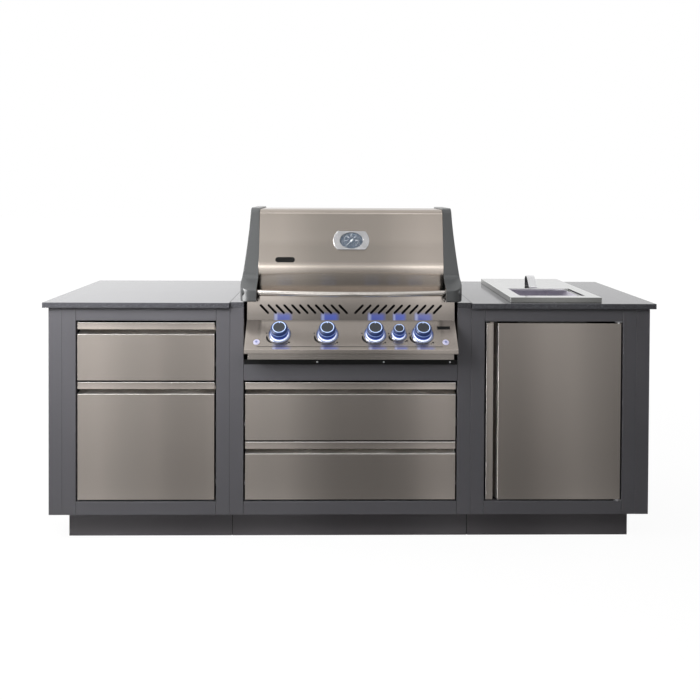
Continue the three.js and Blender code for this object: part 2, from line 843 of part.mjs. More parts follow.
function firebox() {
  const walls = cut(box(boxX, boxY, [boxLow, boxHigh]), [
    box(innerX, innerY, [boxLow + grillSheet, boxHigh + overrun]),
    box(
      [-drainHoleX, drainHoleX],
      grown([(boxFront + boxBack) / 2, (boxFront + boxBack) / 2], drainHoleY),
      [boxLow - overrun, boxLow + grillSheet + overrun],
    ),
    ...burnerXs.map((x) => alongY(burnerRadius + fit, x, grown([boxFront, boxFront], overrun), burnerZ, 16)),
  ]);
  const flangeX = grown(boxX, flangeReach);
  const flange = cut(box(flangeX, boxY, [fit, fit + ledgeSheet]), [
    box(innerX, grown(boxY, overrun), grown([0, ledgeSheet], overrun)),
  ]);
  const ledgeY = [panelTopY + panelSheet + fit, boxFront + fit];
  const ledge = box(boxX, ledgeY, [ledgeLow, panelTopZ]);
  const ears = [-1, 1].flatMap((side) => {
    const across = (a, b) => (side < 0 ? [-b, -a] : [a, b]);
    return [
      box(across(grillHalf - earSheet, grillHalf), [earFront, earBack], [boxHigh - overrun, earHigh]),
      rodX(pivotRadius, across(grillHalf - fit, castingInner + pivotLong - fit), pivotY, pivotZ, 24),
    ];
  });
  return joined([
    walls,
    flange,
    ledge,
    ...ears,
    ...innerLedges(gridLedgeHigh, gridLedge, ledgeSheet),
    ...innerLedges(plateLedgeHigh, gridLedge, ledgeSheet),
    box(innerX, [crossY[0] + burnerWall * 2, innerY[1] + fit], crossLedgeZ),
  ]);
}

part("firebox", firebox(), steel, grill);

// Burners: four tubes on one crossover rail
function burners() {
  const tubeY = [burnerFront, crossY[0] + burnerWall];
  const boreY = [burnerFront - overrun, crossY[0] - burnerWall];
  const tubes = burnerXs.map((x) => alongY(burnerRadius, x, tubeY, burnerZ, 16));
  const bores = burnerXs.map((x) => alongY(burnerRadius - burnerWall, x, boreY, burnerZ, 8));
  const railX = grown([burnerXs[0], burnerXs[burnerXs.length - 1]], burnerRadius);
  return cut(joined([...tubes, box(railX, crossY, crossZ)]), bores);
}
part("burners", burners(), steel, grill);

// Heat plate: one folded sheet with a ridge over each burner and slots between the ridges
function heatPlate() {
  const low = plateLedgeHigh + fit;
  const foot = knobPitch * heatPlateHalfShare;
  const line = [[low, innerX[0] + fit]];
  burnerXs.forEach((x) => {
    line.push([low, x - foot], [low + heatPlateRise, x], [low, x + foot]);
  });
  line.push([low, innerX[1] - fit]);
  const y = grown(innerY, -fit);
  const slots = [];
  const step = (y[1] - y[0]) / heatSlotCount;
  [-knobPitch, 0, knobPitch].forEach((x) => {
    for (let i = 0; i < heatSlotCount; i += 1) {
      const middle = y[0] + step * (i + 0.5);
      const slotY = grown([middle, middle], heatSlotLong / 2);
      slots.push(box(grown([x, x], heatSlotWide / 2), slotY, grown([low, low], overrun)));
    }
  });
  return cut(solidOf(prismY(sheet(line.reverse(), heatPlateSheet), y)), slots);
}
part("heat_plate", heatPlate(), iron, grill);

// A flat plate whose rows of gaps leave bars from front to back
function barredPlate(x, y, z, rows, { border, bar, pitch }) {
  const inner = grown(x, -border);
  const count = Math.floor((inner[1] - inner[0] + bar) / pitch);
  const step = (inner[1] - inner[0] + bar) / count;
  const gaps = [];
  for (let i = 0; i < count; i += 1) {
    const from = inner[0] + i * step;
    rows.forEach((row) => gaps.push(box([from, from + step - bar], row, grown(z, overrun))));
  }
  return cut(box(x, y, z), gaps);
}

// Cooking grids: a rim with bars from front to back and one cross bar
function cookingGrid(x) {
  const y = grown(innerY, -fit);
  const z = [gridLedgeHigh + fit, gridLedgeHigh + fit + gridThick];
  const rows = [
    [y[0] + gridBorder, (y[0] + y[1] - gridCross) / 2],
    [(y[0] + y[1] + gridCross) / 2, y[1] - gridBorder],
  ];
  return barredPlate(x, y, z, rows, { border: gridBorder, bar: gridBar, pitch: gridPitch });
}
part("left_cooking_grid", cookingGrid([innerX[0] + gridGap, -gridGap / 2]), iron, grill);
part("right_cooking_grid", cookingGrid([gridGap / 2, innerX[1] - gridGap]), iron, grill);

// Rear burner: a framed box between the ears
function rearBurner() {
  const x = grown([-grillHalf, grillHalf], -earSheet - fit);
  const y = [earFront, earFront + rearBurnerDeep];
  const z = [earHigh - rearBurnerTall, earHigh];
  const face = box(
    grown(x, -rearBurnerBorder),
    [y[0] - overrun, y[0] + rearBurnerRecess],
    grown(z, -rearBurnerBorder),
  );
  return cut(box(x, y, z), [face]);
}
part("rear_burner", rearBurner(), steel, grill);

// Warming rack: a barred plate on a leg at each side
function warmingRack() {
  const z = [rackZ - rackBar, rackZ];
  const rows = [[rackFront + rackBar, rackBack - rackBar]];
  const rack = barredPlate(boxX, [rackFront, rackBack], z, rows, {
    border: earSheet,
    bar: rackBar,
    pitch: rackPitch,
  });
  const legs = [
    [boxX[0], boxX[0] + earSheet],
    [boxX[1] - earSheet, boxX[1]],
  ];
  const legY = [rackLegFront, rackLegBack];
  return joined([rack, ...legs.map((x) => box(x, legY, [boxHigh + fit, rackZ]))]);
}
part("warming_rack", warmingRack(), chrome, grill);

// Hood: a bent skin between two hollow castings, with a bowed tube handle
const hoodLine = rounded(
  [
    [hoodBendY + hoodUndercut, panelTopZ + fit],
    [hoodBendY, hoodBendZ, hoodBendRadius],
    [hoodTopFront, hoodTop, hoodFrontRadius],
    [hoodTopBack, hoodTop, hoodBackRadius],
    [hoodTailY, hoodTailZ],
  ],
  5,
);
const skinX = grown([-castingInner, castingInner], -fit);
const hoodSkin = solidOf(prismX(sheet(hoodLine.slice().reverse(), hoodSheet), skinX));
part("hood_skin", hoodSkin, steel, grill);

const castingTop = hoodTop + castingProud;
const castingOutline = rounded(
  [
    [castingBlockFront, castingLow, castingBlockRadius],
    [pivotY - castingBossRadius, castingLow, castingBossRadius],
    [pivotY + castingBossRadius, pivotZ - castingBossRadius, castingBossRadius],
    [pivotY + castingBossRadius, pivotZ + castingBossRadius / 2, castingBossRadius / 2],
    [hoodTopBack + castingProud, castingTop, hoodBackRadius],
    [hoodTopFront - castingProud, castingTop, hoodFrontRadius],
    [castingShoulderY, castingShoulderZ, castingShoulderRadius],
    [castingBlockFront, castingBlockHigh, castingBlockRadius],
  ],
  4,
);

// The casting's thickness grows from its top down to its flare
function castingThick(z) {
  const share = Math.min((castingTop - z) / (castingTop - castingFlareZ), 1);
  return castingTopThick + (castingLowThick - castingTopThick) * share ** castingFlarePower;
}

// What is inside the casting's outline, its thickness and its rounded corner, all less a wall
function castingBody(wall, from) {
  const outline = wall ? offset(castingOutline, wall, true) : castingOutline;
  const past = castingInner + castingLowThick + overrun;
  const depth = [castingBlockFront - overrun, pivotY + castingBossRadius + overrun];
  const faceSteps = 12;
  const face = [[castingLow - overrun, from], [castingLow - overrun, castingInner + castingLowThick]];
  for (let step = 0; step <= faceSteps; step += 1) {
    const z = castingFlareZ + ((castingTop - castingFlareZ) * step) / faceSteps;
    face.push([z, castingInner + castingThick(z)]);
  }
  face.push([castingTop + overrun, castingInner + castingTopThick], [castingTop + overrun, from]);
  const section = face.map(([z, x]) => [z, x === from ? x : x - wall]);
  const [side, front] = [castingInner + castingLowThick - wall, castingBlockFront + wall];
  const plan = rounded(
    [[from, front], [side, front, castingPlanRadius - wall], [side, depth[1]], [from, depth[1]]],
    6,
  );
  return solidOf(prismX(outline, [from, past]))
    .intersect(solidOf(prismY(section, depth)))
    .intersect(solidOf(prismZ(plan, [castingLow - overrun, castingTop + overrun])));
}

function hoodCasting() {
  const body = castingBody(0, castingInner);
  const pocket = castingBody(castingWall, castingInner - overrun);
  const bossX = [castingInner, castingInner + castingThick(pivotZ) - castingWall / 2];
  const seatX = [castingInner, castingInner + castingThick(handleZ) - castingWall / 2];
  const solid = joined([
    cut(body, [pocket]),
    rodX(castingPivotBoss, bossX, pivotY, pivotZ, 24),
    rodX(handleSeat, seatX, handleEndY, handleZ, 16).intersect(body),
  ]);
  const boreX = [castingInner - overrun, castingInner + pivotLong];
  return cut(solid, [rodX(pivotRadius + fit, boreX, pivotY, pivotZ, 24)]);
}

const rightCasting = hoodCasting();
part("hood_right_casting", rightCasting, casting, grill);
part("hood_left_casting", rightCasting.mirror([1, 0, 0]), casting, grill);

class BowedLine extends THREE.Curve {
  getPoint(t, target = new THREE.Vector3()) {
    const half = castingInner - fit;
    const across = 2 * t - 1;
    const bow = handleBow * (1 - across * across);
    return target.set(across * half, handleEndY - bow, handleZ);
  }
}

function bowedHandle() {
  const ring = (radius, sides) =>
    Array.from({ length: sides }, (_, i) => {
      const angle = (2 * Math.PI * (i + 0.5)) / sides;
      return new THREE.Vector2(radius * Math.cos(angle), radius * Math.sin(angle));
    });
  const section = new THREE.Shape(ring(handleRadius, 12));
  section.holes.push(new THREE.Path(ring(handleRadius - handleWall, 6)));
  const geometry = new THREE.ExtrudeGeometry(section, {
    steps: 16,
    bevelEnabled: false,
    extrudePath: new BowedLine(),
  });
  const seat = grown([-castingInner, castingInner], -fit);
  const roomY = grown([handleEndY, handleEndY], handleBow * 2);
  return solidOf(geometry).intersect(box(seat, roomY, grown([handleZ, handleZ], handleBow)));
}
part("hood_handle", bowedHandle(), steel, grill);

// Thermometer on the hood's flat front, in a group with z along the outward normal
const hoodLean = Math.atan2(hoodTopFront - hoodBendY, hoodTop - hoodBendZ);
const gaugeY = hoodBendY + (gaugeZ - hoodBendZ) * Math.tan(hoodLean);
const gauge = new THREE.Group();
gauge.rotation.x = Math.PI / 2 - hoodLean;
gauge.position.set(0, gaugeY, gaugeZ);
grill.add(gauge);

const dialLow = fit + gaugeThick - gaugeRecess;

// The plate's outline: flat at its top and bottom, with an arc at each end
function plateOutline() {
  const reach = Math.asin(gaugeHalfTall / gaugeEndRadius);
  const steps = 12;
  const arc = Array.from({ length: steps + 1 }, (_, i) => {
    const angle = reach * ((2 * i) / steps - 1);
    const x = gaugeHalfWide - gaugeEndRadius * (1 - Math.cos(angle));
    return [x, gaugeEndRadius * Math.sin(angle)];
  });
  return [...arc, ...arc.map(([x, y]) => [-x, -y])];
}

function oval(halfWide, halfTall, z) {
  const sides = 40;
  const outline = Array.from({ length: sides }, (_, i) => {
    const angle = (2 * Math.PI * i) / sides;
    return [halfWide * Math.cos(angle), halfTall * Math.sin(angle)];
  });
  return solidOf(prismZ(outline, z));
}

function gaugePlate() {
  const plate = solidOf(prismZ(plateOutline(), [fit, fit + gaugeThick]));
  return plate.subtract(oval(dialHalfWide, dialHalfTall, [dialLow, gaugeThick + overrun]));
}
const dialZ = [dialLow + fit, dialLow + fit + dialThick];
const dialDisc = oval(dialHalfWide - fit, dialHalfTall - fit, dialZ);
const shaftHole = solidOf(rod(needleShaft + fit, [dialZ[0] - overrun, dialZ[1] + overrun], 12));
const needleZ = [dialZ[1] + needleFromDial, dialZ[1] + needleFromDial + needleThick];
const toCold = new THREE.Matrix4().makeRotationZ(needleRest);
const needle = joined([
  box([-needleWide / 2, needleWide / 2], [-needleTail, needleLong], needleZ, toCold),
  solidOf(rod(needleHub, needleZ, 12)),
  solidOf(rod(needleShaft, [dialZ[0] + fit, needleZ[0] + fit], 12)),
]);
part("thermometer_plate", gaugePlate(), chrome, gauge);
part("thermometer_dial", dialDisc.subtract(shaftHole), dialGlass, gauge);
part("thermometer_needle", needle, needlePaint, gauge);

// Control panel: an upright slotted face, a crease, a slope that carries the knobs, and a lip
const slopeRun = -lipY;
const slopeDrop = creaseZ - lipHighZ;
const slopeTilt = Math.atan2(slopeDrop, slopeRun);

// A place on the slope, with z along its outward normal and y up the slope
function onSlope(x, down) {
  const [run, drop] = [down * Math.cos(slopeTilt), down * Math.sin(slopeTilt)];
  return new THREE.Matrix4()
    .makeTranslation(x, -run, creaseZ - drop)
    .multiply(new THREE.Matrix4().makeRotationX(slopeTilt));
}

const knobs = {
  main_knob_1: [-1.5 * knobPitch, mainKnob],
  main_knob_2: [-knobPitch / 2, mainKnob],
  main_knob_3: [knobPitch / 2, mainKnob],
  rear_burner_knob: [knobPitch, smallKnob],
  main_knob_4: [1.5 * knobPitch, mainKnob],
};
const buttons = { left_light_button: -buttonX, right_ignition_button: buttonX };

function slot(x, tilt) {
  const outline = [];
  const half = (slotLong - slotWide) / 2;
  [-1, 1].forEach((end) => {
    for (let step = 0; step <= 3; step += 1) {
      const angle = (end * Math.PI) / 2 + (Math.PI * step) / 3 + Math.PI;
      outline.push([(slotWide / 2) * Math.sin(angle), end * half - (slotWide / 2) * Math.cos(angle)]);
    }
  });
  const geometry = prismY(outline, [-overrun, panelTopY + overrun]).rotateY(tilt);
  return solidOf(geometry.translate(x, 0, slotZ));
}

function controlPanel() {
  const x = [-panelHalf, panelHalf];
  const line = [
    [lipY + lipReturn, lipLowZ],
    [lipY, lipLowZ],
    [lipY, lipHighZ],
    [0, creaseZ],
    [panelTopY, panelTopZ],
  ];
  const skin = solidOf(prismX(sheet(line.slice().reverse(), panelSheet), x));
  const endOutline = [
    [lipY, lipLowZ],
    [panelEndBack, lipLowZ],
    [panelEndBack, panelShoulderZ - fit],
    [panelTopY - (panelTopZ - panelShoulderZ) * (panelTopY / (panelTopZ - creaseZ)), panelShoulderZ - fit],
    [0, creaseZ],
    [lipY, lipHighZ],
  ];
  const ends = [
    solidOf(prismX(endOutline, [x[0], x[0] + panelSheet])),
    solidOf(prismX(endOutline, [x[1] - panelSheet, x[1]])),
  ];
  const collars = Object.values(knobs).map(([at, { bezel }]) =>
    solidOf(rod(bezel, [-panelSheet / 2, bezelTall], 24).applyMatrix4(onSlope(at, knobDown))),
  );
  const buttonCollars = Object.values(buttons).map((at) =>
    solidOf(rod(buttonCollar, [-panelSheet / 2, buttonCollarTall], 20).applyMatrix4(onSlope(at, buttonDown))),
  );
  const cutters = [];
  Object.values(knobs).forEach(([at, { bezel }]) => {
    const frame = onSlope(at, knobDown);
    cutters.push(solidOf(rod(stemHole, [-panelSheet - overrun, overrun], 12).applyMatrix4(frame)));
    cutters.push(solidOf(rod(bezel - bezelWall, [fit, bezelTall + overrun], 24).applyMatrix4(frame)));
  });
  Object.values(buttons).forEach((at) => {
    const frame = onSlope(at, buttonDown);
    cutters.push(solidOf(rod(buttonRadius + fit, [-panelSheet - overrun, overrun], 20).applyMatrix4(frame)));
  });
  for (let i = 1; i <= slotCount; i += 1) {
    cutters.push(slot(-i * slotPitch, -slotTilt));
    cutters.push(slot(i * slotPitch, slotTilt));
  }
  const shoulders = [
    [-panelHalf - overrun, -castingInner + fit],
    [castingInner - fit, panelHalf + overrun],
  ];
  shoulders.forEach((side) => {
    cutters.push(box(side, [-overrun, panelTopY + overrun], [panelShoulderZ, panelTopZ + overrun]));
  });
  return cut(joined([skin, ...ends, ...collars, ...buttonCollars]), cutters);
}
part("control_panel", controlPanel(), steel, grill);

// Knobs with their stems, and the two push buttons, each in a group on the slope
function slopeGroup(x, down) {
  const group = new THREE.Group();
  group.applyMatrix4(onSlope(x, down));
  grill.add(group);
  return group;
}

const stemLow = -stemLong;
Object.entries(knobs).forEach(([name, [x, { radius, tall }]]) => {
  const outline = knobOutlineShares.map(([across, up]) => [radius * across, tall * up]);
  const foot = outline[0][1];
  const profile = [[0, stemLow], [stemRadius, stemLow], [stemRadius, foot], ...outline, [0, tall]];
  part(name, solidOf(turned(profile, 24)), knobGrey, slopeGroup(x, knobDown));
});
Object.entries(buttons).forEach(([name, x]) => {
  const cap = solidOf(rod(buttonRadius, [buttonProud - buttonLong, buttonProud], 20));
  part(name, cap, chrome, slopeGroup(x, buttonDown));
});

// Gas manifold: a pipe behind the slope with a valve under each knob and two feet on the firebox
function gasManifold() {
  const valves = Object.values(knobs).map(([x]) =>
    box(
      grown([0, 0], valveWide / 2),
      grown([0, 0], valveWide / 2),
      [-valveTop - valveDeep, -valveTop],
      onSlope(x, knobDown),
    ),
  );
  const boreZ = [-valveTop - valveBoreDeep, overrun];
  const bores = Object.values(knobs).map(([x]) =>
    solidOf(rod(stemRadius + fit, boreZ, 16).applyMatrix4(onSlope(x, knobDown))),
  );
  const pipeAt = new THREE.Vector3(0, 0, -manifoldDepth).applyMatrix4(onSlope(0, knobDown));
  const pipe = rodX(manifoldRadius, [-manifoldHalf, manifoldHalf], pipeAt.y, pipeAt.z, 12);
  const feet = [-1, 1].map((side) =>
    box(
      grown([side * manifoldFootX, side * manifoldFootX], manifoldFoot / 2),
      [pipeAt.y, boxFront - fit],
      grown([pipeAt.z, pipeAt.z], manifoldFoot / 4),
    ),
  );
  return cut(joined([pipe, ...valves, ...feet]), bores);
}
part("gas_manifold", gasManifold(), zinc, grill);

// Grill shelf on the middle rail, and the drip tray that slides on its two rails
function grillShelf() {
  const x = grown(grillBay, -shelfInset);
  const z = [midRailHigh + fit, midRailHigh + fit + shelfSheet];
  const rails = [-1, 1].map((side) =>
    box(
      grown([side * shelfRailX, side * shelfRailX], shelfRailWide / 2),
      [frameSheet * 2, shelfBack],
      [z[0], trayLow - fit],
    ),
  );
  return joined([box(x, [0, shelfBack], z), box(x, [0, shelfSheet], [z[0], shelfHigh]), ...rails]);
}

function dripTray() {
  const x = [-trayHalf, trayHalf];
  const y = [trayFront, trayBack];
  const pan = cut(box(x, y, [trayLow, trayHigh]), [
    box(grown(x, -traySheet), grown(y, -traySheet), [trayLow + traySheet, trayHigh + overrun]),
  ]);
  const frontX = [-trayFrontHalf, trayFrontHalf];
  const front = box(frontX, [trayFront, trayFront + traySheet], [trayLow, trayFrontTop]);
  return joined([pan, front]);
}
part("grill_shelf", grillShelf(), iron);
part("drip_tray", dripTray(), steel);

// The origin is on the floor under the middle of the island
function slopeReach(radius, height) {
  return knobDown * Math.cos(slopeTilt) + height * Math.sin(slopeTilt) + radius * Math.cos(slopeTilt);
}
const knobReach = knobOutlineShares.map(([across, up]) =>
  slopeReach(mainKnob.radius * across, mainKnob.tall * up),
);
const frontReach = Math.max(-lipY, handleBow - handleEndY + handleRadius, ...knobReach);
island.position.y = (frontReach - topBack) / 2;

export default island;
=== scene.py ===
"""An outdoor kitchen island: the looks of its pieces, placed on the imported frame."""
import json
from math import asin, atan2, cos, pi, radians, sin, sqrt, tan

import bmesh
import bpy
from mathutils import Matrix, Vector

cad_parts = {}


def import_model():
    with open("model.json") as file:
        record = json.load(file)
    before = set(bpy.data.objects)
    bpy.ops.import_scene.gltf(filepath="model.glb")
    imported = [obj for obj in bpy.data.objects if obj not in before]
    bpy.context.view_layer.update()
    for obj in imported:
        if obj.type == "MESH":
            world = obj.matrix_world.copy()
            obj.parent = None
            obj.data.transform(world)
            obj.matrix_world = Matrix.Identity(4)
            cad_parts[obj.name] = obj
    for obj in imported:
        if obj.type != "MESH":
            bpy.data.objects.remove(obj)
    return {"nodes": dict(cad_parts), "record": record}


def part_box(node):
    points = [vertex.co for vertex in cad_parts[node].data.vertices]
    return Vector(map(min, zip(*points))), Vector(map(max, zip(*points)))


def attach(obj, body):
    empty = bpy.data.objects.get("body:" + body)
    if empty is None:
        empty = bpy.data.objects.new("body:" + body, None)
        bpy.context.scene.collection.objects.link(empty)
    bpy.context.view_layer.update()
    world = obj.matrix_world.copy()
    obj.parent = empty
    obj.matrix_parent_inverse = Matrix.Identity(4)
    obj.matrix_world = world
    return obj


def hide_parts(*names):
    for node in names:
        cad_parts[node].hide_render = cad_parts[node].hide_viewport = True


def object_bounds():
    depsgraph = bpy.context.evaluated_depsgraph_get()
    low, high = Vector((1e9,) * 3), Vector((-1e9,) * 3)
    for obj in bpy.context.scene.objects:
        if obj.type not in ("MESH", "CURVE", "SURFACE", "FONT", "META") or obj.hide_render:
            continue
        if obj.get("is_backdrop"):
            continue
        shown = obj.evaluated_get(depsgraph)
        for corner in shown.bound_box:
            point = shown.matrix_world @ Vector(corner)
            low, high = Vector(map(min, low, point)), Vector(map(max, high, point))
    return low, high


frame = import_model()
cad_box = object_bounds()

# Lengths are in millimetres: x to the right, y back from the cabinet fronts, z up from the floor
MM = 0.001
FRONT_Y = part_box("left_end_panel")[0].y
TO_FRAME = Matrix.Translation((0, FRONT_Y, 0)) @ Matrix.Scale(MM, 4)
FROM_FRAME = TO_FRAME.inverted()
WHITE = (1.0, 1.0, 1.0)
BLACK = (0.0, 0.0, 0.0)

# Camera, fitted to the photograph
EYE = (-51.45, -2869.4, 1340.1)
FOCAL_PX = 765.2
IMAGE_PX = 700
AXIS_ROW = 200.19
YAW = -0.0158
PITCH = 0.0145
ROLL = 0.0049
SENSOR = 36


def span(node):
    """The ranges of a CAD node along x, y and z, in millimetres."""
    low, high = (FROM_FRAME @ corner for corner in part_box(node))
    return [(low[i], high[i]) for i in range(3)]


def scaled(colour, share):
    return tuple(c * share for c in colour)


class Nodes:
    """A node tree, with short calls for the nodes that the materials and the world use."""

    def __init__(self, tree):
        self.tree = tree

    def add(self, kind, inputs, **settings):
        node = self.tree.nodes.new("ShaderNode" + kind)
        for name, value in settings.items():
            setattr(node, name, value)
        for key, value in inputs.items():
            if isinstance(value, bpy.types.NodeSocket):
                self.tree.links.new(value, node.inputs[key])
            else:
                node.inputs[key].default_value = value
        return node

    def place(self):
        return self.add("TexCoord", {}).outputs["Object"]

    def axes(self):
        """The place's x, y and z."""
        return tuple(self.add("SeparateXYZ", {0: self.place()}).outputs)

    def math(self, operation, a, b=0.0, c=0.0):
        return self.add("Math", {0: a, 1: b, 2: c}, operation=operation).outputs[0]

    def times(self, a, b):
        return self.math("MULTIPLY", a, b)

    def away(self, value, middle):
        """How far a value is from a middle one."""
        return self.math("ABSOLUTE", self.math("SUBTRACT", value, middle))

    def most(self, values):
        """The largest of several values."""
        largest = values[0]
        for value in values[1:]:
            largest = self.math("MAXIMUM", largest, value)
        return largest

    def choice(self, share, a, b):
        """The value a where the share is 0, and b where it is 1."""
        return self.add("Mix", {0: share, 2: a, 3: b}, data_type="FLOAT").outputs[0]

    def rays(self):
        """The share seen by the eye, straight or through glass, and the share seen in metal."""
        path = self.add("LightPath", {}).outputs
        return self.most([path["Is Camera Ray"], path["Is Transmission Ray"]]), path["Is Glossy Ray"]

    def noise(self, per_metre, detail=2.0, rough=0.5):
        """Noise with so many features to a metre, in all directions or along x, y and z."""
        scale = per_metre if isinstance(per_metre, tuple) else (per_metre,) * 3
        scaled_place = self.add("VectorMath", {0: self.place(), 1: scale}, operation="MULTIPLY")
        inputs = {"Vector": scaled_place.outputs[0], "Scale": 1.0, "Detail": detail}
        return self.add("TexNoise", {**inputs, "Roughness": rough}).outputs["Fac"]

    def spread(self, value, low, high, start=0.0, end=1.0):
        """The value's range from start to end, spread over low to high and held beyond."""
        inputs = {0: value, 1: start, 2: end, 3: low, 4: high}
        return self.add("MapRange", inputs).outputs[0]

    def ramp(self, value, stops):
        """A colour ramp with stops given as (position, colour)."""
        node = self.add("ValToRGB", {0: value})
        elements = node.color_ramp.elements
        while len(elements) < len(stops):
            elements.new(0.5)
        for element, (position, colour) in zip(elements, stops):
            element.position = position
            element.color = (*colour, 1.0)
        return node.outputs[0]

    def between(self, noise, low, high):
        """Two colours, over the part of the range that noise fills."""
        return self.ramp(noise, [(0.3, low), (0.7, high)])

    def level_ramp(self, value, stops):
        """A ramp of plain levels, given as (position, level)."""
        grey = self.ramp(value, [(position, (level,) * 3) for position, level in stops])
        return self.add("SeparateColor", {0: grey}).outputs[0]

    def mix(self, share, a, b):
        """The colour a where the share is 0, and b where it is 1."""
        node = self.add("Mix", {0: share}, data_type="RGBA")
        for index, value in ((6, a), (7, b)):
            if isinstance(value, bpy.types.NodeSocket):
                self.tree.links.new(value, node.inputs[index])
            else:
                node.inputs[index].default_value = (*value, 1.0)
        return node.outputs[2]

    def tinted(self, a, b):
        """Two colours multiplied."""
        inputs = {0: 1.0, 6: a, 7: b}
        return self.add("Mix", inputs, data_type="RGBA", blend_type="MULTIPLY").outputs[2]


class Shader(Nodes):
    """A principled surface whose colour, roughness and bump come from noise."""

    def __init__(self, name, sockets):
        self.material = bpy.data.materials.new(name)
        self.material.use_nodes = True
        super().__init__(self.material.node_tree)
        self.surface = self.tree.nodes["Principled BSDF"]
        for socket, value in sockets.items():
            self.surface.inputs[socket].default_value = value

    def set(self, socket, value):
        self.tree.links.new(value, self.surface.inputs[socket])

    def base(self):
        """What the base colour comes from so far."""
        return self.surface.inputs["Base Color"].links[0].from_socket

    def bump(self, height, depth, strength=0.5):
        inputs = {"Height": height, "Distance": depth * MM, "Strength": strength}
        self.set("Normal", self.add("Bump", inputs).outputs[0])


def powder_coat(name, colour, rough=0.52, level=0.45, coat=0.0):
    """Sprayed powder: fine orange peel, with slightly uneven colour."""
    shader = Shader(name, {"Specular IOR Level": level, "Coat Weight": coat, "Coat Roughness": 0.2})
    cloud = shader.noise(3, 3)
    peel = shader.noise(900)
    tone = shader.math("MULTIPLY_ADD", peel, 0.45, shader.times(cloud, 0.55))
    shader.set("Base Color", shader.between(tone, scaled(colour, 0.88), scaled(colour, 1.1)))
    shader.set("Roughness", shader.spread(peel, rough - 0.08, rough + 0.1))
    shader.bump(peel, 0.06)
    return shader.material


def brushed_steel(name, colour, rough=0.2, painted_bands=0.06):
    """Brushed sheet: fine lines along x, and soft bands across them, partly random tone and partly
    painted reflection.
    """
    shader = Shader(name, {"Metallic": 1.0, "Anisotropic": 0.9})
    lines = shader.noise((7.0, 1500.0, 1500.0))
    coarse = shader.noise((1.5, 500.0, 500.0), 1)
    band = shader.noise((5.0, 0.2, 0.2), 1.5)
    grain = shader.math("MULTIPLY_ADD", lines, 0.85, shader.times(coarse, 0.15))
    low = (colour[0] * (0.99 - painted_bands), colour[1] * (1 - painted_bands), colour[2] * (1 - painted_bands))
    base = shader.ramp(band, [(0.34, low), (0.66, scaled(colour, 1 + painted_bands))])
    scratch = shader.between(grain, (0.975,) * 3, WHITE)
    shader.set("Base Color", shader.tinted(base, scratch))
    shader.set("Roughness", shader.spread(grain, rough - 0.02, rough + 0.02, 0.3, 0.7))
    shader.bump(grain, 0.001, 0.2)
    tangent = shader.add("Tangent", {}, direction_type="RADIAL", axis="X")
    shader.set("Tangent", tangent.outputs[0])
    return shader


def plain_metal(name, colour, rough, spots=120):
    """Plated or polished metal with faint smears."""
    shader = Shader(name, {"Metallic": 1.0})
    smear = shader.noise(spots, 3)
    shader.set("Base Color", shader.between(smear, scaled(colour, 0.9), colour))
    shader.set("Roughness", shader.spread(smear, rough * 0.75, rough * 1.35))
    return shader.material


def satin(name, colour, rough, grain=600, depth=0.04, level=0.5, glow=BLACK):
    """Plastic, enamel or rubber with a fine moulded grain, which may glow a little."""
    sockets = {"Specular IOR Level": level, "Emission Strength": 1.0}
    shader = Shader(name, {**sockets, "Emission Color": (*glow, 1.0)})
    fine = shader.noise(grain)
    shader.set("Base Color", shader.between(fine, scaled(colour, 0.85), scaled(colour, 1.12)))
    shader.set("Roughness", shader.spread(fine, rough - 0.06, rough + 0.08))
    shader.bump(fine, depth)
    return shader.material


def granite(name):
    """Dark polished stone with small pale and dark grains."""
    shader = Shader(name, {"Specular IOR Level": 0.55})
    cells = shader.add("TexVoronoi", {"Vector": shader.place(), "Scale": 520.0}).outputs["Color"]
    grains = shader.add("SeparateColor", {0: cells}).outputs[0]
    clouds = shader.noise(9, 4, 0.6)
    colour = shader.ramp(
        grains,
        [
            (0.0, (0.03, 0.03, 0.036)), (0.35, (0.05, 0.05, 0.058)),
            (0.75, (0.066, 0.066, 0.077)), (0.95, (0.12, 0.12, 0.135)),
        ],
    )
    shade = shader.between(clouds, (0.88, 0.88, 0.89), WHITE)
    shader.set("Base Color", shader.tinted(colour, shade))
    shader.set("Roughness", shader.spread(clouds, 0.1, 0.16))
    return shader.material


def glowing(name, colour, strength, base=(0.8, 0.85, 1.0)):
    """A lit translucent plastic, a little uneven."""
    shader = Shader(name, {"Roughness": 0.35, "Emission Strength": strength})
    uneven = shader.noise(260)
    shader.set("Emission Color", shader.between(uneven, scaled(colour, 0.8), colour))
    shader.set("Base Color", shader.between(uneven, scaled(base, 0.9), base))
    return shader.material


STEEL = (0.372, 0.333, 0.303)
steel = brushed_steel("brushed_steel", STEEL).material
# A darker copy of the brushed steel for the drip tray: painted shade under the control panel's lip
tray_steel = brushed_steel("tray_steel", (0.27, 0.245, 0.225), 0.26).material
hood_steel = brushed_steel("hood_steel", (0.43, 0.382, 0.34), 0.18)
# Two copies of one steel for the cooler: a light one for the lid and the rim's top, painted light,
# and a dark one for the tub's sides, painted shade
lit_rim_steel = brushed_steel("brushed_rim_steel", (0.72, 0.72, 0.715), 0.15, painted_bands=0.03).material
shaded_rim_steel = brushed_steel("brushed_rim_edge", (0.26, 0.26, 0.252)).material
# A bright copy of the steel for the folds that look up: a painted highlight along each drawer
# front's fold
fold_steel = plain_metal("fold_steel", (0.8, 0.78, 0.76), 0.46, 8)
door_fold_steel = plain_metal("door_fold_steel", (0.4, 0.375, 0.365), 0.5, 8)
# The liner glows faintly: painted light in the tub's shaded inside
tub_liner = satin("tub_liner", (0.66, 0.64, 0.69), 0.35, 200, glow=(0.045, 0.041, 0.052))
strap_steel = plain_metal("strap_steel", (0.84, 0.84, 0.85), 0.16)
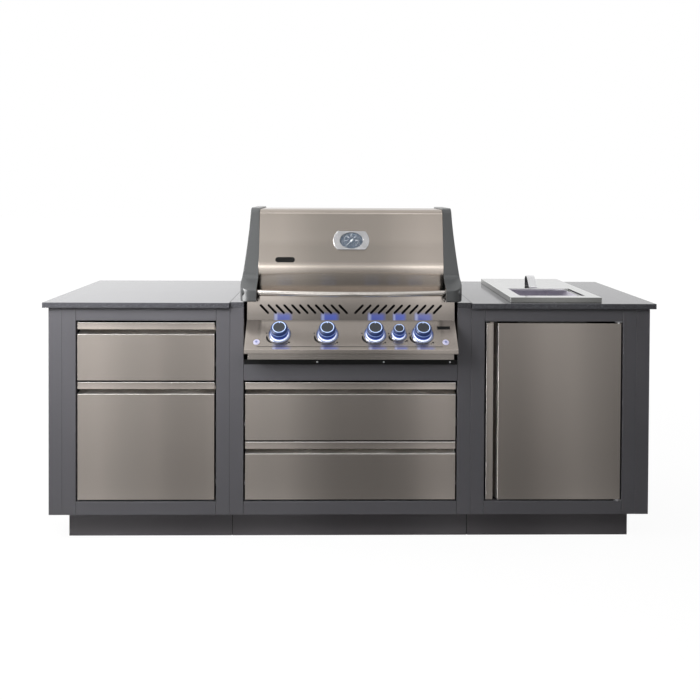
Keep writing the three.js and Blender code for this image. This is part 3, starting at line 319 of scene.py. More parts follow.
# A dark copy of the strap's steel for its inner faces: painted shade
shaded_strap_inside = plain_metal("shaded_strap_inside", (0.17, 0.17, 0.18), 0.3)
frame_paint = powder_coat("frame_paint", (0.084, 0.082, 0.09))
shell_paint = powder_coat("shell_paint", (0.075, 0.075, 0.08))
kick_paint = powder_coat("kick_paint", (0.08, 0.074, 0.08))
casting_paint = powder_coat("casting_paint", (0.046, 0.048, 0.049), 0.32, 0.65, 0.2)
stone = granite("stone")
zinc = plain_metal("zinc_sheet", (0.4, 0.4, 0.41), 0.34)
chrome = plain_metal("chrome", (0.62, 0.63, 0.66), 0.14)
tube_steel = plain_metal("tube_steel", (0.58, 0.545, 0.51), 0.17)
iron = satin("black_iron", (0.028, 0.028, 0.03), 0.5)
black_shelf = satin("black_shelf", (0.006, 0.006, 0.006), 0.6, level=0.15)
gasket = satin("black_gasket", (0.006, 0.006, 0.006), 0.8, level=0.1)
printed = satin("print", (0.006, 0.006, 0.006), 0.6, level=0.15)
pale_print = satin("pale_print", (0.7, 0.74, 0.77), 0.5)

# The slots of the materials that aren't named after theirs
SLOT_OF = {}
for slot, names in (
    ("brushed_steel", "tray_steel hood_steel brushed_rim_steel brushed_rim_edge panel_steel"),
    ("brushed_steel", "strap_steel tube_steel"),
    ("black_iron", "black_shelf"),
    ("chrome", "satin_silver bezel_chrome"),
    ("needle_paint", "pale_print"),
    ("knob_grey", "knob_plastic knob_cap"),
    ("lit_ring", "white_glow ring_glow rim_glow button_glow button_centre"),
):
    SLOT_OF.update(dict.fromkeys(names.split(), slot))


# Meshes
def rounded(corners, steps):
    """Points [a, b, radius], with each radius as an arc of so many steps."""
    out = []
    count = len(corners)
    for i, corner in enumerate(corners):
        here = Vector(corner[:2])
        radius = corner[2] if len(corner) > 2 else 0
        if not radius:
            out.append(tuple(here))
            continue
        back = (Vector(corners[i - 1][:2]) - here).normalized()
        on = (Vector(corners[(i + 1) % count][:2]) - here).normalized()
        half = back.angle(on) / 2
        centre = here + (back + on).normalized() * (radius / sin(half))
        first = here + back * (radius / tan(half)) - centre
        last = here + on * (radius / tan(half)) - centre
        turn = first.angle_signed(last)
        for step in range(steps + 1):
            angle = -turn * step / steps
            out.append(tuple(centre + Matrix.Rotation(angle, 2) @ first))
    return out


def offset(points, distance, closed):
    """The points moved to the left of their direction, with mitred corners."""
    count = len(points)

    def normal(i, j):
        a, b = Vector(points[i % count]), Vector(points[j % count])
        return Vector((a.y - b.y, b.x - a.x)).normalized()

    out = []
    for i, point in enumerate(points):
        before = normal(i - 1, i) if closed or i > 0 else normal(i, i + 1)
        after = normal(i, i + 1) if closed or i < count - 1 else before
        mitre = (before + after).normalized()
        out.append(tuple(Vector(point) + mitre * (distance / mitre.dot(before))))
    return out


def sheet(points, thickness):
    """The closed outline of a sheet with its thickness on the left of these points."""
    return [*points, *reversed(offset(points, thickness, False))]


def ellipse(across, up, sides):
    turns = [2 * pi * i / sides for i in range(sides)]
    return [(across * cos(turn), up * sin(turn)) for turn in turns]


def bridge(bm, low, high):
    """Faces between two rings of corners, either of which may be a single point."""
    count = max(len(low), len(high))
    for i in range(count):
        j = (i + 1) % count
        corners = [low[i % len(low)], low[j % len(low)], high[j % len(high)], high[i % len(high)]]
        bm.faces.new(list(dict.fromkeys(corners)))


def prism(outline, ends, axis="z"):
    """An outline drawn out between two places: one of x and y along z, or of y and z along x."""
    bm = bmesh.new()
    rings = [[(end, a, b) if axis == "x" else (a, b, end) for a, b in outline] for end in ends]
    low, high = [[bm.verts.new(corner) for corner in ring] for ring in rings]
    bm.faces.new(low)
    bm.faces.new(high)
    bridge(bm, low, high)
    return bm


def block(x, y, z):
    return prism([(x[0], y[0]), (x[1], y[0]), (x[1], y[1]), (x[0], y[1])], z)


def lathe(profile, sides=64):
    """A profile of (radius, height), turned about z; it ends on the axis or closes on itself."""
    bm = bmesh.new()
    rings = []
    for radius, height in profile:
        points = [(0, 0)] if radius < 1e-6 else ellipse(radius, radius, sides)
        rings.append([bm.verts.new((x, y, height)) for x, y in points])
    pairs = list(zip(rings, rings[1:]))
    if len(rings[0]) > 1 and len(rings[-1]) > 1:
        pairs.append((rings[-1], rings[0]))
    for low, high in pairs:
        bridge(bm, low, high)
    return bm


def tube(path, radius, sides):
    """A round bar along the points of a path, with flat ends."""
    bm = bmesh.new()
    points = [Vector(p) for p in path]
    rings = []
    for i, point in enumerate(points):
        before = points[max(i - 1, 0)]
        after = points[min(i + 1, len(points) - 1)]
        turn = (after - before).to_track_quat("Z", "Y")
        spokes = [turn @ Vector((x, y, 0)) for x, y in ellipse(radius, radius, sides)]
        rings.append([bm.verts.new(point + spoke) for spoke in spokes])
    bm.faces.new(rings[0])
    bm.faces.new(rings[-1])
    for low, high in zip(rings, rings[1:]):
        bridge(bm, low, high)
    return bm


def together(meshes):
    """Several meshes as one."""
    whole = bmesh.new()
    for bm in meshes:
        mesh = bpy.data.meshes.new("part")
        bm.to_mesh(mesh)
        bm.free()
        whole.from_mesh(mesh)
        bpy.data.meshes.remove(mesh)
    return whole


def moved(bm, matrix):
    bm.transform(matrix)
    return bm


def oriented(bm):
    bmesh.ops.recalc_face_normals(bm, faces=bm.faces)
    return bm


def in_scene(name, data):
    obj = bpy.data.objects.new(name, data)
    bpy.context.scene.collection.objects.link(obj)
    return obj


def carved(bm, cutter):
    """The mesh with the cutter's space taken out."""
    objects = []
    for shape in (bm, cutter):
        mesh = bpy.data.meshes.new("carving")
        oriented(shape).to_mesh(mesh)
        shape.free()
        objects.append(in_scene("carving", mesh))
    modifier = objects[0].modifiers.new("cut", "BOOLEAN")
    modifier.operation = "DIFFERENCE"
    modifier.solver = "EXACT"
    modifier.object = objects[1]
    result = objects[0].evaluated_get(bpy.context.evaluated_depsgraph_get())
    out = bmesh.new()
    out.from_mesh(result.to_mesh())
    result.to_mesh_clear()
    for obj in objects:
        mesh = obj.data
        bpy.data.objects.remove(obj)
        bpy.data.meshes.remove(mesh)
    return out


WELD = 0.002  # corners closer than this are one


def welded(bm):
    bmesh.ops.remove_doubles(bm, verts=bm.verts, dist=WELD)
    return bm


def solid_of(node):
    """A CAD node's solid in millimetres, its flat faces whole."""
    data = frame["nodes"][node].data
    bm = bmesh.new()
    corners = [bm.verts.new(FROM_FRAME @ v.co) for v in data.vertices]
    for polygon in data.polygons:
        bm.faces.new([corners[i] for i in polygon.vertices])
    welded(bm)
    bmesh.ops.dissolve_limit(bm, angle_limit=radians(1), verts=bm.verts, edges=bm.edges)
    return bm


SHARP = radians(34)


def eased(bm, width, segments=3):
    """The mesh with every sharp edge rounded."""
    oriented(bm)
    edges = [e for e in bm.edges if len(e.link_faces) == 2 and e.calc_face_angle() > SHARP]
    shape = {"offset": width, "segments": segments, "profile": 0.5, "clamp_overlap": True}
    bmesh.ops.bevel(bm, geom=edges, affect="EDGES", **shape)
    return welded(bm)


def piece(name, bm, material, node=None, body="island", slot=None):
    """A mesh as an object that replaces a CAD node on its body, or stands on the body given."""
    replaces = [node] if node else []
    body = BODY_OF[node] if node else body
    look = material.name.partition(".")[0]  # without the number that Blender puts after it
    slot = slot or SLOT_OF.get(look, look)
    oriented(bm)
    bm.transform(TO_FRAME)
    mesh = bpy.data.meshes.new(name)
    bm.to_mesh(mesh)
    bm.free()
    mesh.materials.append(material)
    mesh.shade_smooth()
    mesh.set_sharp_from_angle(angle=SHARP)
    obj = in_scene(name, mesh)
    even = obj.modifiers.new("even_normals", "WEIGHTED_NORMAL")
    even.keep_sharp = True
    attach(obj, body)
    if replaces:
        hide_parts(*replaces)
    return obj


BODIES = frame["record"]["behaviour"]["bodies"]
BODY_OF = {node: body for body, nodes in BODIES.items() for node in nodes}


def dressed(node, width, material, segments=3):
    """A CAD node's own shape with its edges rounded."""
    return piece(node + "_finished", eased(solid_of(node), width, segments), material, node)


def two_finishes(obj, other, picks):
    """Gives another material to the faces that the function picks by centre and normal."""
    index = len(obj.data.materials)
    obj.data.materials.append(other)
    for polygon in obj.data.polygons:
        if picks(FROM_FRAME @ polygon.center, polygon.normal):
            polygon.material_index = index


# Cabinets: plinths, shells, end panels, and face frames made of stiles and rails
STILE = 52
SEAM = 0.9
KICK_GAP = 1.4
RAIL_EDGES = {
    "left": [(0, 50), (732, 782)],
    "centre": [(0, 50), (507, 568)],
    "right": [(0, 50), (732, 782)],
}


def face_frame(name):
    node = name + "_face_frame"
    x, y, z = span(node)
    stiles = ((x[0], x[0] + STILE - SEAM), (x[1] - STILE + SEAM, x[1]))
    rails = [(z[0] + low, z[0] + high) for low, high in RAIL_EDGES[name]]
    bars = [block(stile, y, z) for stile in stiles]
    bars += [block((x[0] + STILE, x[1] - STILE), y, rail) for rail in rails]
    whole = together([eased(bar, 1.2) for bar in bars])
    piece(name + "_stiles_and_rails", whole, frame_paint, node)


def kick_plinth(name):
    """A plinth whose two ends stand back a little, which leaves a dark gap to its neighbour."""
    node = name + "_kick_plinth"
    left, right = span(node)[0]
    bm = eased(solid_of(node), 0.8)
    for vert in bm.verts:
        vert.co.x = min(max(vert.co.x, left + KICK_GAP), right - KICK_GAP)
    piece(node + "_finished", welded(bm), kick_paint, node)


def kick_joint(name, end):
    """The dark strip at the back of the gap at one end of a plinth."""
    x, y, z = span(name + "_kick_plinth")
    strip = block((x[end] - KICK_GAP, x[end] + KICK_GAP), (y[0] + 4, y[0] + 8), z)
    piece(f"{name}_kick_joint_{end}", strip, gasket)


for module in ("left", "centre", "right"):
    face_frame(module)
    kick_plinth(module)
    dressed(module + "_cabinet_shell", 0.8, shell_paint)
    dressed(module + "_worktop", 1.6, stone, 4)
for end in (0, 1):
    kick_joint("centre", end)
for side in ("left", "right"):
    dressed(side + "_end_panel", 0.9, frame_paint)

# Drawer fronts and the door front: one folded sheet each, with a finger pull
SKIN = 1.5
PULL_STRIP = 26.5
PULL_GAP = 18.5
PULL_NOSE = 8
PULL_DEPTH = 33
PULL_RISE = 12
PULL_LIFT = 13
PULL_CREASE = 1.2
FOLD = 2.0
FOLD_STEPS = 6


def front_line(height, depth):
    """The outer line of a front's section, as depth and height, from the top down."""
    strip_low = height - PULL_STRIP
    face_high = strip_low - PULL_GAP
    return [
        (depth, height),
        (PULL_CREASE, height, FOLD),
        (PULL_CREASE, strip_low + PULL_STRIP / 2),
        (0, strip_low, FOLD),
        (PULL_NOSE, strip_low, FOLD),
        (PULL_NOSE, strip_low + PULL_LIFT, FOLD),
        (PULL_DEPTH, strip_low + PULL_LIFT, FOLD),
        (PULL_DEPTH, face_high + PULL_RISE, FOLD),
        (0, face_high, FOLD),
        (0, 0, FOLD),
        (depth, 0),
    ]


FOLD_FACING = -0.2  # a fold's faces look forward by at least this, and by FOLD_TURN to a side
FOLD_TURN = 0.25


def drawer_front(name):
    x, y, z = span(name)
    line = rounded(front_line(z[1] - z[0], y[1]), FOLD_STEPS)
    skin = eased(moved(prism(sheet(line, SKIN), x, "x"), Matrix.Translation((0, 0, z[0]))), 0.5)
    flange_y = (y[0] + SKIN, y[1])
    flange_z = (z[0] + SKIN, z[1] - PULL_STRIP - PULL_GAP - SKIN)
    ends = ((x[0], x[0] + SKIN), (x[1] - SKIN, x[1]))
    whole = together([skin, *(block(end, flange_y, flange_z) for end in ends)])
    front = piece(name + "_skin", whole, steel, name)
    # Painted highlight: the fold faces that look up and forward get the bright copy
    two_finishes(front, fold_steel, lambda at, n: n.z > FOLD_TURN and n.y < FOLD_FACING)


def door_front():
    name = "door_front"
    x, y, z = span(name)
    line = rounded(front_line(x[1] - x[0], y[1]), FOLD_STEPS)
    skin = eased(prism([(x[1] - along, depth) for depth, along in sheet(line, SKIN)], z), 0.5)
    flange_x = (x[0] + PULL_STRIP + PULL_GAP + SKIN, x[1] - SKIN)
    flange_y = (y[0] + SKIN, y[1])
    ends = ((z[0], z[0] + SKIN), (z[1] - SKIN, z[1]))
    whole = together([skin, *(block(flange_x, flange_y, end) for end in ends)])
    front = piece("door_skin", whole, steel, name)
    two_finishes(front, door_fold_steel, lambda at, n: n.x < -FOLD_TURN and n.y < FOLD_FACING)


for drawer in ("left_upper", "left_lower", "centre_upper", "centre_lower"):
    drawer_front(drawer + "_drawer_front")
    dressed(drawer + "_drawer_box", 0.6, zinc)
    dressed(drawer + "_drawer_runners", 0.5, zinc)
door_front()
for node in ("door_inner_panel", "door_upper_hinge", "door_lower_hinge"):
    dressed(node, 0.4, zinc)
dressed("door_catch", 1.0, iron)

# Cooler: tub with its rim, sliding lid, strap handle and drain
RIM_TALL = 25
LINER_DROP = 13  # from the rim's top down to the liner's
TUB_FLOOR = 5


def cooler_tub():
    tub = dressed("cooler_tub", 1.2, shaded_rim_steel)
    x, y, z = span("cooler_tub")
    # Painted light and shade: the rim's faces that look up get the light copy, the rest keep the
    # dark one
    two_finishes(tub, lit_rim_steel, lambda at, n: n.z > 0.5 and at.z > z[1] - RIM_TALL)

    def inside(at, n):
        outward = n.x * (at.x - (x[0] + x[1]) / 2) + n.y * (at.y - (y[0] + y[1]) / 2)
        faces_up = n.z > 0.5 and at.z > z[0] + TUB_FLOOR
        return at.z < z[1] - LINER_DROP and (outward < -1 or faces_up)

    two_finishes(tub, tub_liner, inside)


cooler_tub()
dressed("cooler_lid", 1.4, lit_rim_steel)
dressed("cooler_drain", 0.6, chrome)
STRAP = 3
STRAP_TOP = 38
STRAP_CORNER = 20
STRAP_FOOT = 6
STRAP_FOOT_CORNER = 5


def lid_handle():
    """A bent strap: upright at its back, level on top and sloping down to its front foot."""
    name = "cooler_lid_handle"
    x, y, z = span(name)
    line = rounded(
        [
            (y[1], z[0]),
            (y[1], z[1], STRAP_CORNER),
            (y[1] - STRAP_TOP, z[1], STRAP_CORNER),
            (y[0], z[0] + STRAP_FOOT, STRAP_FOOT_CORNER),
            (y[0], z[0]),
        ],
        16,
    )
    strap = eased(prism(sheet(line, STRAP), x, "x"), 0.7)
    strap = piece("cooler_lid_strap", strap, strap_steel, name)
    middle = Vector((0, (y[0] + y[1]) / 2, z[0]))
    # Painted shade: the strap's inner faces get the dark copy
    two_finishes(strap, shaded_strap_inside, lambda at, n: abs(n.x) < 0.5 and n.dot(middle - at) > 0)


lid_handle()

# Grill body: what shows under the hood and through the slots
for node, width, material in (
    ("firebox", 0.8, steel),
    ("burners", 0.8, tube_steel),
    ("heat_plate", 0.5, iron),
    ("left_cooking_grid", 1.4, iron),
    ("right_cooking_grid", 1.4, iron),
    ("rear_burner", 0.8, steel),
    ("warming_rack", 1.2, chrome),
    ("gas_manifold", 0.8, zinc),
    ("grill_shelf", 0.6, black_shelf),
    ("drip_tray", 0.6, tray_steel),
):
    dressed(node, width, material)

# Hood: skin, castings and handle
HOOD_SHEET = 2
HOOD_LINE = [
    (52, 937.3), (15, 1033, 75), (62, 1262, 26), (330, 1262, 70), (522, 1012),
]
CASTING_INNER = 350
CASTING_TOP = 1268
CASTING_LOW = 924
CASTING_TOP_THICK = 33
CASTING_LOW_THICK = 62.5
CASTING_FLARE_Z = 994
CASTING_FLARE_POWER = 1.4
CASTING_WALL = 5
CASTING_EASE = 3.5
CASTING_FRONT = -61
CASTING_PLAN_RADIUS = 40
PIVOT = (500, 985)
PIVOT_BOSS = 18
PIVOT_BORE = 6.3
BOSS = 40
CASTING_OUTLINE = [
    (CASTING_FRONT, CASTING_LOW, 6), (PIVOT[0] - BOSS, CASTING_LOW, BOSS),
    (PIVOT[0] + BOSS, PIVOT[1] - BOSS, BOSS), (PIVOT[0] + BOSS, PIVOT[1] + BOSS / 2, BOSS / 2),
    (336, CASTING_TOP, 70), (56, CASTING_TOP, 26), (12, 1008, 30), (CASTING_FRONT, 967.5, 6),
]
CASTING_CUTS_Z = range(CASTING_FLARE_Z, CASTING_TOP, 14)
CASTING_CUTS_Y = (1.5, 4, 8, 13, 19, 26, 33, CASTING_PLAN_RADIUS)  # behind its front
HANDLE_END = (-40, 957)
HANDLE_BOW = 50
HANDLE_RADIUS = 10.1
HANDLE_SEAT = 15
HANDLE_STEPS = 48
# Painted highlight and reflection: the base colour's level by the height in millimetres, brightest
# at the bend and on the fold below it
HOOD_PAINTED_LIGHT = (
    (930, 1.1), (985, 1.25), (1018, 1.65), (1042, 1.5), (1066, 0.9), (1120, 0.9), (1150, 1.0),
    (1270, 1.0),
)


def paint_light_by_height(shader, painted_levels):
    """Paints light and shade into the base colour: multiplies it by levels given as (height in
    millimetres, level).
    """
    plain = shader.base()
    low, high = painted_levels[0][0], painted_levels[-1][0]
    top = max(level for z, level in painted_levels)
    share = shader.spread(shader.axes()[2], 0.0, 1.0, low * MM, high * MM)
    stops = [((z - low) / (high - low), (level / top,) * 3) for z, level in painted_levels]
    bright = shader.tinted(plain, (top, top, top, 1.0))
    shader.set("Base Color", shader.tinted(bright, shader.ramp(share, stops)))


def hood_skin():
    # painted highlight at the hood's bend and painted reflection on its lower fold
    paint_light_by_height(hood_steel, HOOD_PAINTED_LIGHT)
    line = list(reversed(rounded(HOOD_LINE, 18)))
    skin = eased(prism(sheet(line, HOOD_SHEET), span("hood_skin")[0], "x"), 0.6)
    piece("hood_skin_bent", skin, hood_steel.material, "hood_skin")


def casting_thick(y, z):
    """The casting's thickness: less towards its top, and rounded off at its front end."""
    share = min((CASTING_TOP - z) / (CASTING_TOP - CASTING_FLARE_Z), 1)
    thick = CASTING_TOP_THICK + (CASTING_LOW_THICK - CASTING_TOP_THICK) * share**CASTING_FLARE_POWER
    short = max(CASTING_PLAN_RADIUS - (y - CASTING_FRONT), 0)
    round_end = CASTING_LOW_THICK - CASTING_PLAN_RADIUS
    return min(thick, round_end + sqrt(max(CASTING_PLAN_RADIUS**2 - short**2, 0)))


def ring_along_x(outer, inner, x, centre):
    profile = [(inner, x[0]), (outer, x[0]), (outer, x[1]), (inner, x[1])]
    turn = Matrix.Translation((0, *centre)) @ Matrix.Rotation(pi / 2, 4, "Y")
    return moved(lathe(profile, 48), turn)


def hood_casting(side):
    """A hollow casting, made with its depth as a share of its thickness and then stretched."""
    outline = rounded(CASTING_OUTLINE, 10)
    bm = bmesh.new()

    def loop(inward, depth):
        points = offset(outline, inward, True) if inward else outline
        return [bm.verts.new((depth, y, z)) for y, z in points]

    rim = []
    for step in range(5):
        angle = pi / 2 * step / 4
        depth = 1 - CASTING_EASE / CASTING_LOW_THICK * (1 - sin(angle))
        rim.append(loop(CASTING_EASE * (1 - cos(angle)), depth))
    loops = [loop(CASTING_WALL, 0), loop(0, 0), *rim]
    floor = loop(CASTING_WALL, 1 - CASTING_WALL / CASTING_LOW_THICK)
    bm.faces.new(rim[-1])
    bm.faces.new(floor)
    for low, high in ((floor, loops[0]), *zip(loops, loops[1:])):
        bridge(bm, low, high)
    cuts = [((0, 0, z), (0, 0, 1)) for z in CASTING_CUTS_Z]
    cuts += [((0, CASTING_FRONT + run, 0), (0, 1, 0)) for run in CASTING_CUTS_Y]
    for place, normal in cuts:
        geometry = [*bm.verts, *bm.edges, *bm.faces]
        bmesh.ops.bisect_plane(bm, geom=geometry, dist=0.01, plane_co=place, plane_no=normal)
    for vert in bm.verts:
        vert.co.x = CASTING_INNER + vert.co.x * casting_thick(vert.co.y, vert.co.z)
    bosses = []
    for outer, inner, centre in ((PIVOT_BOSS, PIVOT_BORE, PIVOT), (HANDLE_SEAT, 0, HANDLE_END)):
        reach = (CASTING_INNER, CASTING_INNER + casting_thick(*centre) - CASTING_WALL)
        bosses.append(ring_along_x(outer, inner, reach, centre))
    whole = together([bm, *bosses])
    if side == "left":
        moved(whole, Matrix.Scale(-1, 4, (1, 0, 0)))
    node = f"hood_{side}_casting"
    piece(node + "_body", whole, casting_paint, node)


def hood_handle():
    half = span("hood_handle")[0][1]
    path = []
    for i in range(HANDLE_STEPS + 1):
        across = 2 * i / HANDLE_STEPS - 1
        bow = HANDLE_BOW * (1 - across * across)
        path.append((across * half, HANDLE_END[0] - bow, HANDLE_END[1]))
    bar = tube(path, HANDLE_RADIUS, 28)
    piece("hood_handle_tube", bar, tube_steel, "hood_handle")


hood_skin()
hood_casting("left")
hood_casting("right")
hood_handle()

# The hood's flat front, from its bend up to its brow, and the thermometer on it
HOOD_BEND, HOOD_BROW = HOOD_LINE[1][:2], HOOD_LINE[2][:2]
HOOD_LEAN = atan2(HOOD_BROW[0] - HOOD_BEND[0], HOOD_BROW[1] - HOOD_BEND[1])


def on_hood(x, z):
    """A place on the hood's flat front, with z along its outward normal and y up the front."""
    place = Matrix.Translation((x, HOOD_BEND[0] + (z - HOOD_BEND[1]) * tan(HOOD_LEAN), z))
    return place @ Matrix.Rotation(pi / 2 - HOOD_LEAN, 4, "X")


GAUGE = on_hood(0, 1143)
PLATE_HALF = (68.5, 35.5)
PLATE_END_RADIUS = 47
PLATE_Z = (0.3, 14.3)
PLATE_RECESS = 8
DIAL_HALF = (44, 30.5)
DIAL_Z = (6.6, 8.6)
LENS_Z = (11.8, 13)
NEEDLE_Z = (9.4, 10.6)
NEEDLE_REST = radians(135)
SCALE_RADIUS = 27.5
SCALE_TURN = radians(270)
MARK_COUNT = 30
MARK_EVERY = 5  # a longer mark at every fifth
MARK_SIZES = {True: (0.5, 5.0), False: (0.25, 2.6)}  # half width and length
NUMBER_SIZE = 5.2
NUMBER_INSET = 9.5
POINTER = [(-1.5, -9), (1.5, -9), (1.1, 0), (0.35, 26), (-0.35, 26), (-1.1, 0)]


def plate_outline(steps=24):
    """Flat at the top and bottom, with an arc at each end."""
    reach = asin(PLATE_HALF[1] / PLATE_END_RADIUS)
    outline = []
    for end in (1, -1):
        for i in range(steps + 1):
            angle = reach * (2 * i / steps - 1)
            across = PLATE_HALF[0] - PLATE_END_RADIUS * (1 - cos(angle))
            outline.append((end * across, end * PLATE_END_RADIUS * sin(angle)))
    return outline


def oval(less, z):
    """An oval as wide and tall as the dial's opening, less so much all round."""
    return prism(ellipse(DIAL_HALF[0] - less, DIAL_HALF[1] - less, 72), z)


def gauge_plate():
    plate = eased(prism(plate_outline(), PLATE_Z), 2.2, 4)
    pocket = oval(0, (PLATE_Z[1] - PLATE_RECESS, PLATE_Z[1] + PLATE_RECESS))
    bm = moved(eased(carved(plate, pocket), 0.5), GAUGE)
    piece("gauge_bezel", bm, satin_silver, "thermometer_plate")


def gauge_dial():
    disc = moved(eased(oval(0.3, DIAL_Z), 0.3), GAUGE)
    piece("gauge_dial", disc, dial_blue, "thermometer_dial")
    marks = []
    raised = (DIAL_Z[1], DIAL_Z[1] + 0.2)
    for i in range(MARK_COUNT + 1):
        half, long = MARK_SIZES[i % MARK_EVERY == 0]
        mark = block((-half, half), (SCALE_RADIUS - long, SCALE_RADIUS), raised)
        turn = Matrix.Rotation(NEEDLE_REST - SCALE_TURN * i / MARK_COUNT, 4, "Z")
        marks.append(moved(mark, GAUGE @ turn))
    piece("gauge_marks", together(marks), pale_print, body="hood")
    lens = moved(eased(oval(0.4, LENS_Z), 0.3), GAUGE)
    piece("gauge_lens", lens, lens_glass, body="hood")


def gauge_numbers():
    """Plain hundreds at every fifth mark of the dial."""
    for i in range(1, 6):
        turn = NEEDLE_REST - SCALE_TURN * i / 6
        text = bpy.data.curves.new("gauge_number", "FONT")
        text.body = str(i * 100)
        text.size = NUMBER_SIZE
        text.align_x = text.align_y = "CENTER"
        text.extrude = 0.1
        obj = in_scene("gauge_number", text)
        mesh = bpy.data.meshes.new_from_object(obj)
        bpy.data.objects.remove(obj)
        bm = bmesh.new()
        bm.from_mesh(mesh)
        reach = SCALE_RADIUS - NUMBER_INSET
        place = Vector((-sin(turn) * reach, cos(turn) * reach, DIAL_Z[1] + 0.15))
        moved(bm, GAUGE @ Matrix.Translation(place))
        piece(f"gauge_number_{i}", bm, pale_print, body="hood")


def gauge_needle():
    low, high = NEEDLE_Z[0] - 0.4, NEEDLE_Z[1]
    hub = lathe([(0, low), (4, low), (4, high), (3, high + 0.6), (0, high + 0.6)], 32)
    pointer = eased(prism(POINTER, NEEDLE_Z), 0.2)
    bm = moved(together([pointer, hub]), GAUGE @ Matrix.Rotation(NEEDLE_REST, 4, "Z"))
    piece("gauge_needle", bm, pale_print, "thermometer_needle")


def glass(name):
    sockets = {"Roughness": 0.03, "Transmission Weight": 1.0, "IOR": 1.45, "Alpha": 0.35}
    shader = Shader(name, sockets)
    film = shader.noise(90)
    shader.set("Base Color", shader.between(film, (0.94, 0.97, 1.0), WHITE))
    return shader.material


satin_silver = plain_metal("satin_silver", (0.6, 0.6, 0.61), 0.24, 30)
dial_blue = satin("dial_face", (0.035, 0.055, 0.085), 0.25, 300, 0.01)
lens_glass = glass("dial_glass")
gauge_plate()
gauge_dial()
gauge_numbers()
gauge_needle()

# Control panel: the bent skin with its slots, and what sits on its slope
PANEL_HALF = 390
PANEL_SHEET = 2
PANEL_TOP = (8, 937)
PANEL_SHOULDER = 917
CREASE_Z = 848
LIP_Y = -98
LIP_Z = (739.5, 756.5)
LIP_RETURN = 22
PANEL_BACK = 60
BEND = 4
SLOPE = atan2(CREASE_Z - LIP_Z[1], -LIP_Y)
SLOT_PITCH = 29.6
SLOT_COUNT = 11
SLOT_LONG = 47
SLOT_WIDE = 8.5
SLOT_Z = 888
KNOB_DOWN = 66
BUTTON_DOWN = 101
MAIN_KNOB = (31.5, 45, 42)  # radius, height and the radius of its ring
SMALL_KNOB = (22.5, 40, 31)
KNOBS = {  # x, size, and share of the knobs' blue light on the panel
    "main_knob_1": (-264, MAIN_KNOB, 0.85),
    "main_knob_2": (-88, MAIN_KNOB, 1.0),
    "main_knob_3": (88, MAIN_KNOB, 0.85),
    "rear_burner_knob": (176, SMALL_KNOB, 1.0),
    "main_knob_4": (264, MAIN_KNOB, 0.75),
}
BUTTONS = {"left_light_button": -347, "right_ignition_button": 347}
BUTTON_RADIUS = 9
BUTTON_COLLAR = 12
HOLE_Z = (-12, 8)
STEM_RADIUS = 4
STEM_HOLE = 8
CASTING_GAP = 0.3
NOTCH_PAST = 9  # how far the castings' notches are cut past the panel's end


def on_slope(x, down):
    """A place on the slope, with z along its outward normal and y up the slope."""
    place = Matrix.Translation((x, -down * cos(SLOPE), CREASE_Z - down * sin(SLOPE)))
    return place @ Matrix.Rotation(SLOPE, 4, "X")


def stadium(long, wide, steps=12):
    half = (long - wide) / 2
    radius = wide / 2
    out = []
    for end in (1, -1):
        for i in range(steps + 1):
            angle = pi * i / steps
            out.append((end * radius * cos(angle), end * (half + radius * sin(angle))))
    return out


def disc(radius, z, sides):
    return lathe([(0, z[0]), (radius, z[0]), (radius, z[1]), (0, z[1])], sides)


def panel_cutters():
    """The slots, the holes for the stems and the buttons, and the notches for the castings."""
    upright = Matrix.Rotation(pi / 2, 4, "X")
    for i in range(1, SLOT_COUNT + 1):
        for side in (-1, 1):
            slot = prism(stadium(SLOT_LONG, SLOT_WIDE), (-20, 30))
            turn = upright @ Matrix.Rotation(-side * pi / 4, 4, "Z")
            yield moved(slot, Matrix.Translation((side * i * SLOT_PITCH, 0, SLOT_Z)) @ turn)
    for at, *_ in KNOBS.values():
        yield moved(disc(STEM_HOLE, HOLE_Z, 32), on_slope(at, KNOB_DOWN))
    for at in BUTTONS.values():
        yield moved(disc(BUTTON_RADIUS + 0.5, HOLE_Z, 32), on_slope(at, BUTTON_DOWN))
    for side in (-1, 1):
        ends = sorted((side * (CASTING_INNER - CASTING_GAP), side * (PANEL_HALF + NOTCH_PAST)))
        yield block(ends, (-30, 40), (PANEL_SHOULDER, PANEL_TOP[1] + 20))


def control_panel():
    line = rounded(
        [
            PANEL_TOP,
            (0, CREASE_Z, BEND),
            (LIP_Y, LIP_Z[1], BEND),
            (LIP_Y, LIP_Z[0], BEND),
            (LIP_Y + LIP_RETURN, LIP_Z[0]),
        ],
        6,
    )
    skin = prism(sheet(line, PANEL_SHEET), (-PANEL_HALF, PANEL_HALF), "x")
    skin = carved(skin, together(panel_cutters()))
    lean = PANEL_TOP[0] / (PANEL_TOP[1] - CREASE_Z)
    end_line = [
        (LIP_Y + PANEL_SHEET, LIP_Z[0]),
        (PANEL_BACK, LIP_Z[0]),
        (PANEL_BACK, PANEL_SHOULDER),
        ((PANEL_SHOULDER - CREASE_Z) * lean + PANEL_SHEET, PANEL_SHOULDER),
        (PANEL_SHEET, CREASE_Z - 1),
        (LIP_Y + PANEL_SHEET, LIP_Z[1] - 1),
    ]
    near, far = PANEL_HALF - PANEL_SHEET, PANEL_HALF - 0.1
    ends = [eased(prism(end_line, x, "x"), 0.4) for x in ((-far, -near), (near, far))]
    whole = together([skin, *ends])
    piece("control_panel_skin", whole, panel_steel, "control_panel")
    liner = block((-PANEL_HALF + 20, PANEL_HALF - 20), (22, 23.5), (CREASE_Z + 4, PANEL_SHOULDER))
    piece("panel_slot_liner", eased(liner, 0.4), gasket)


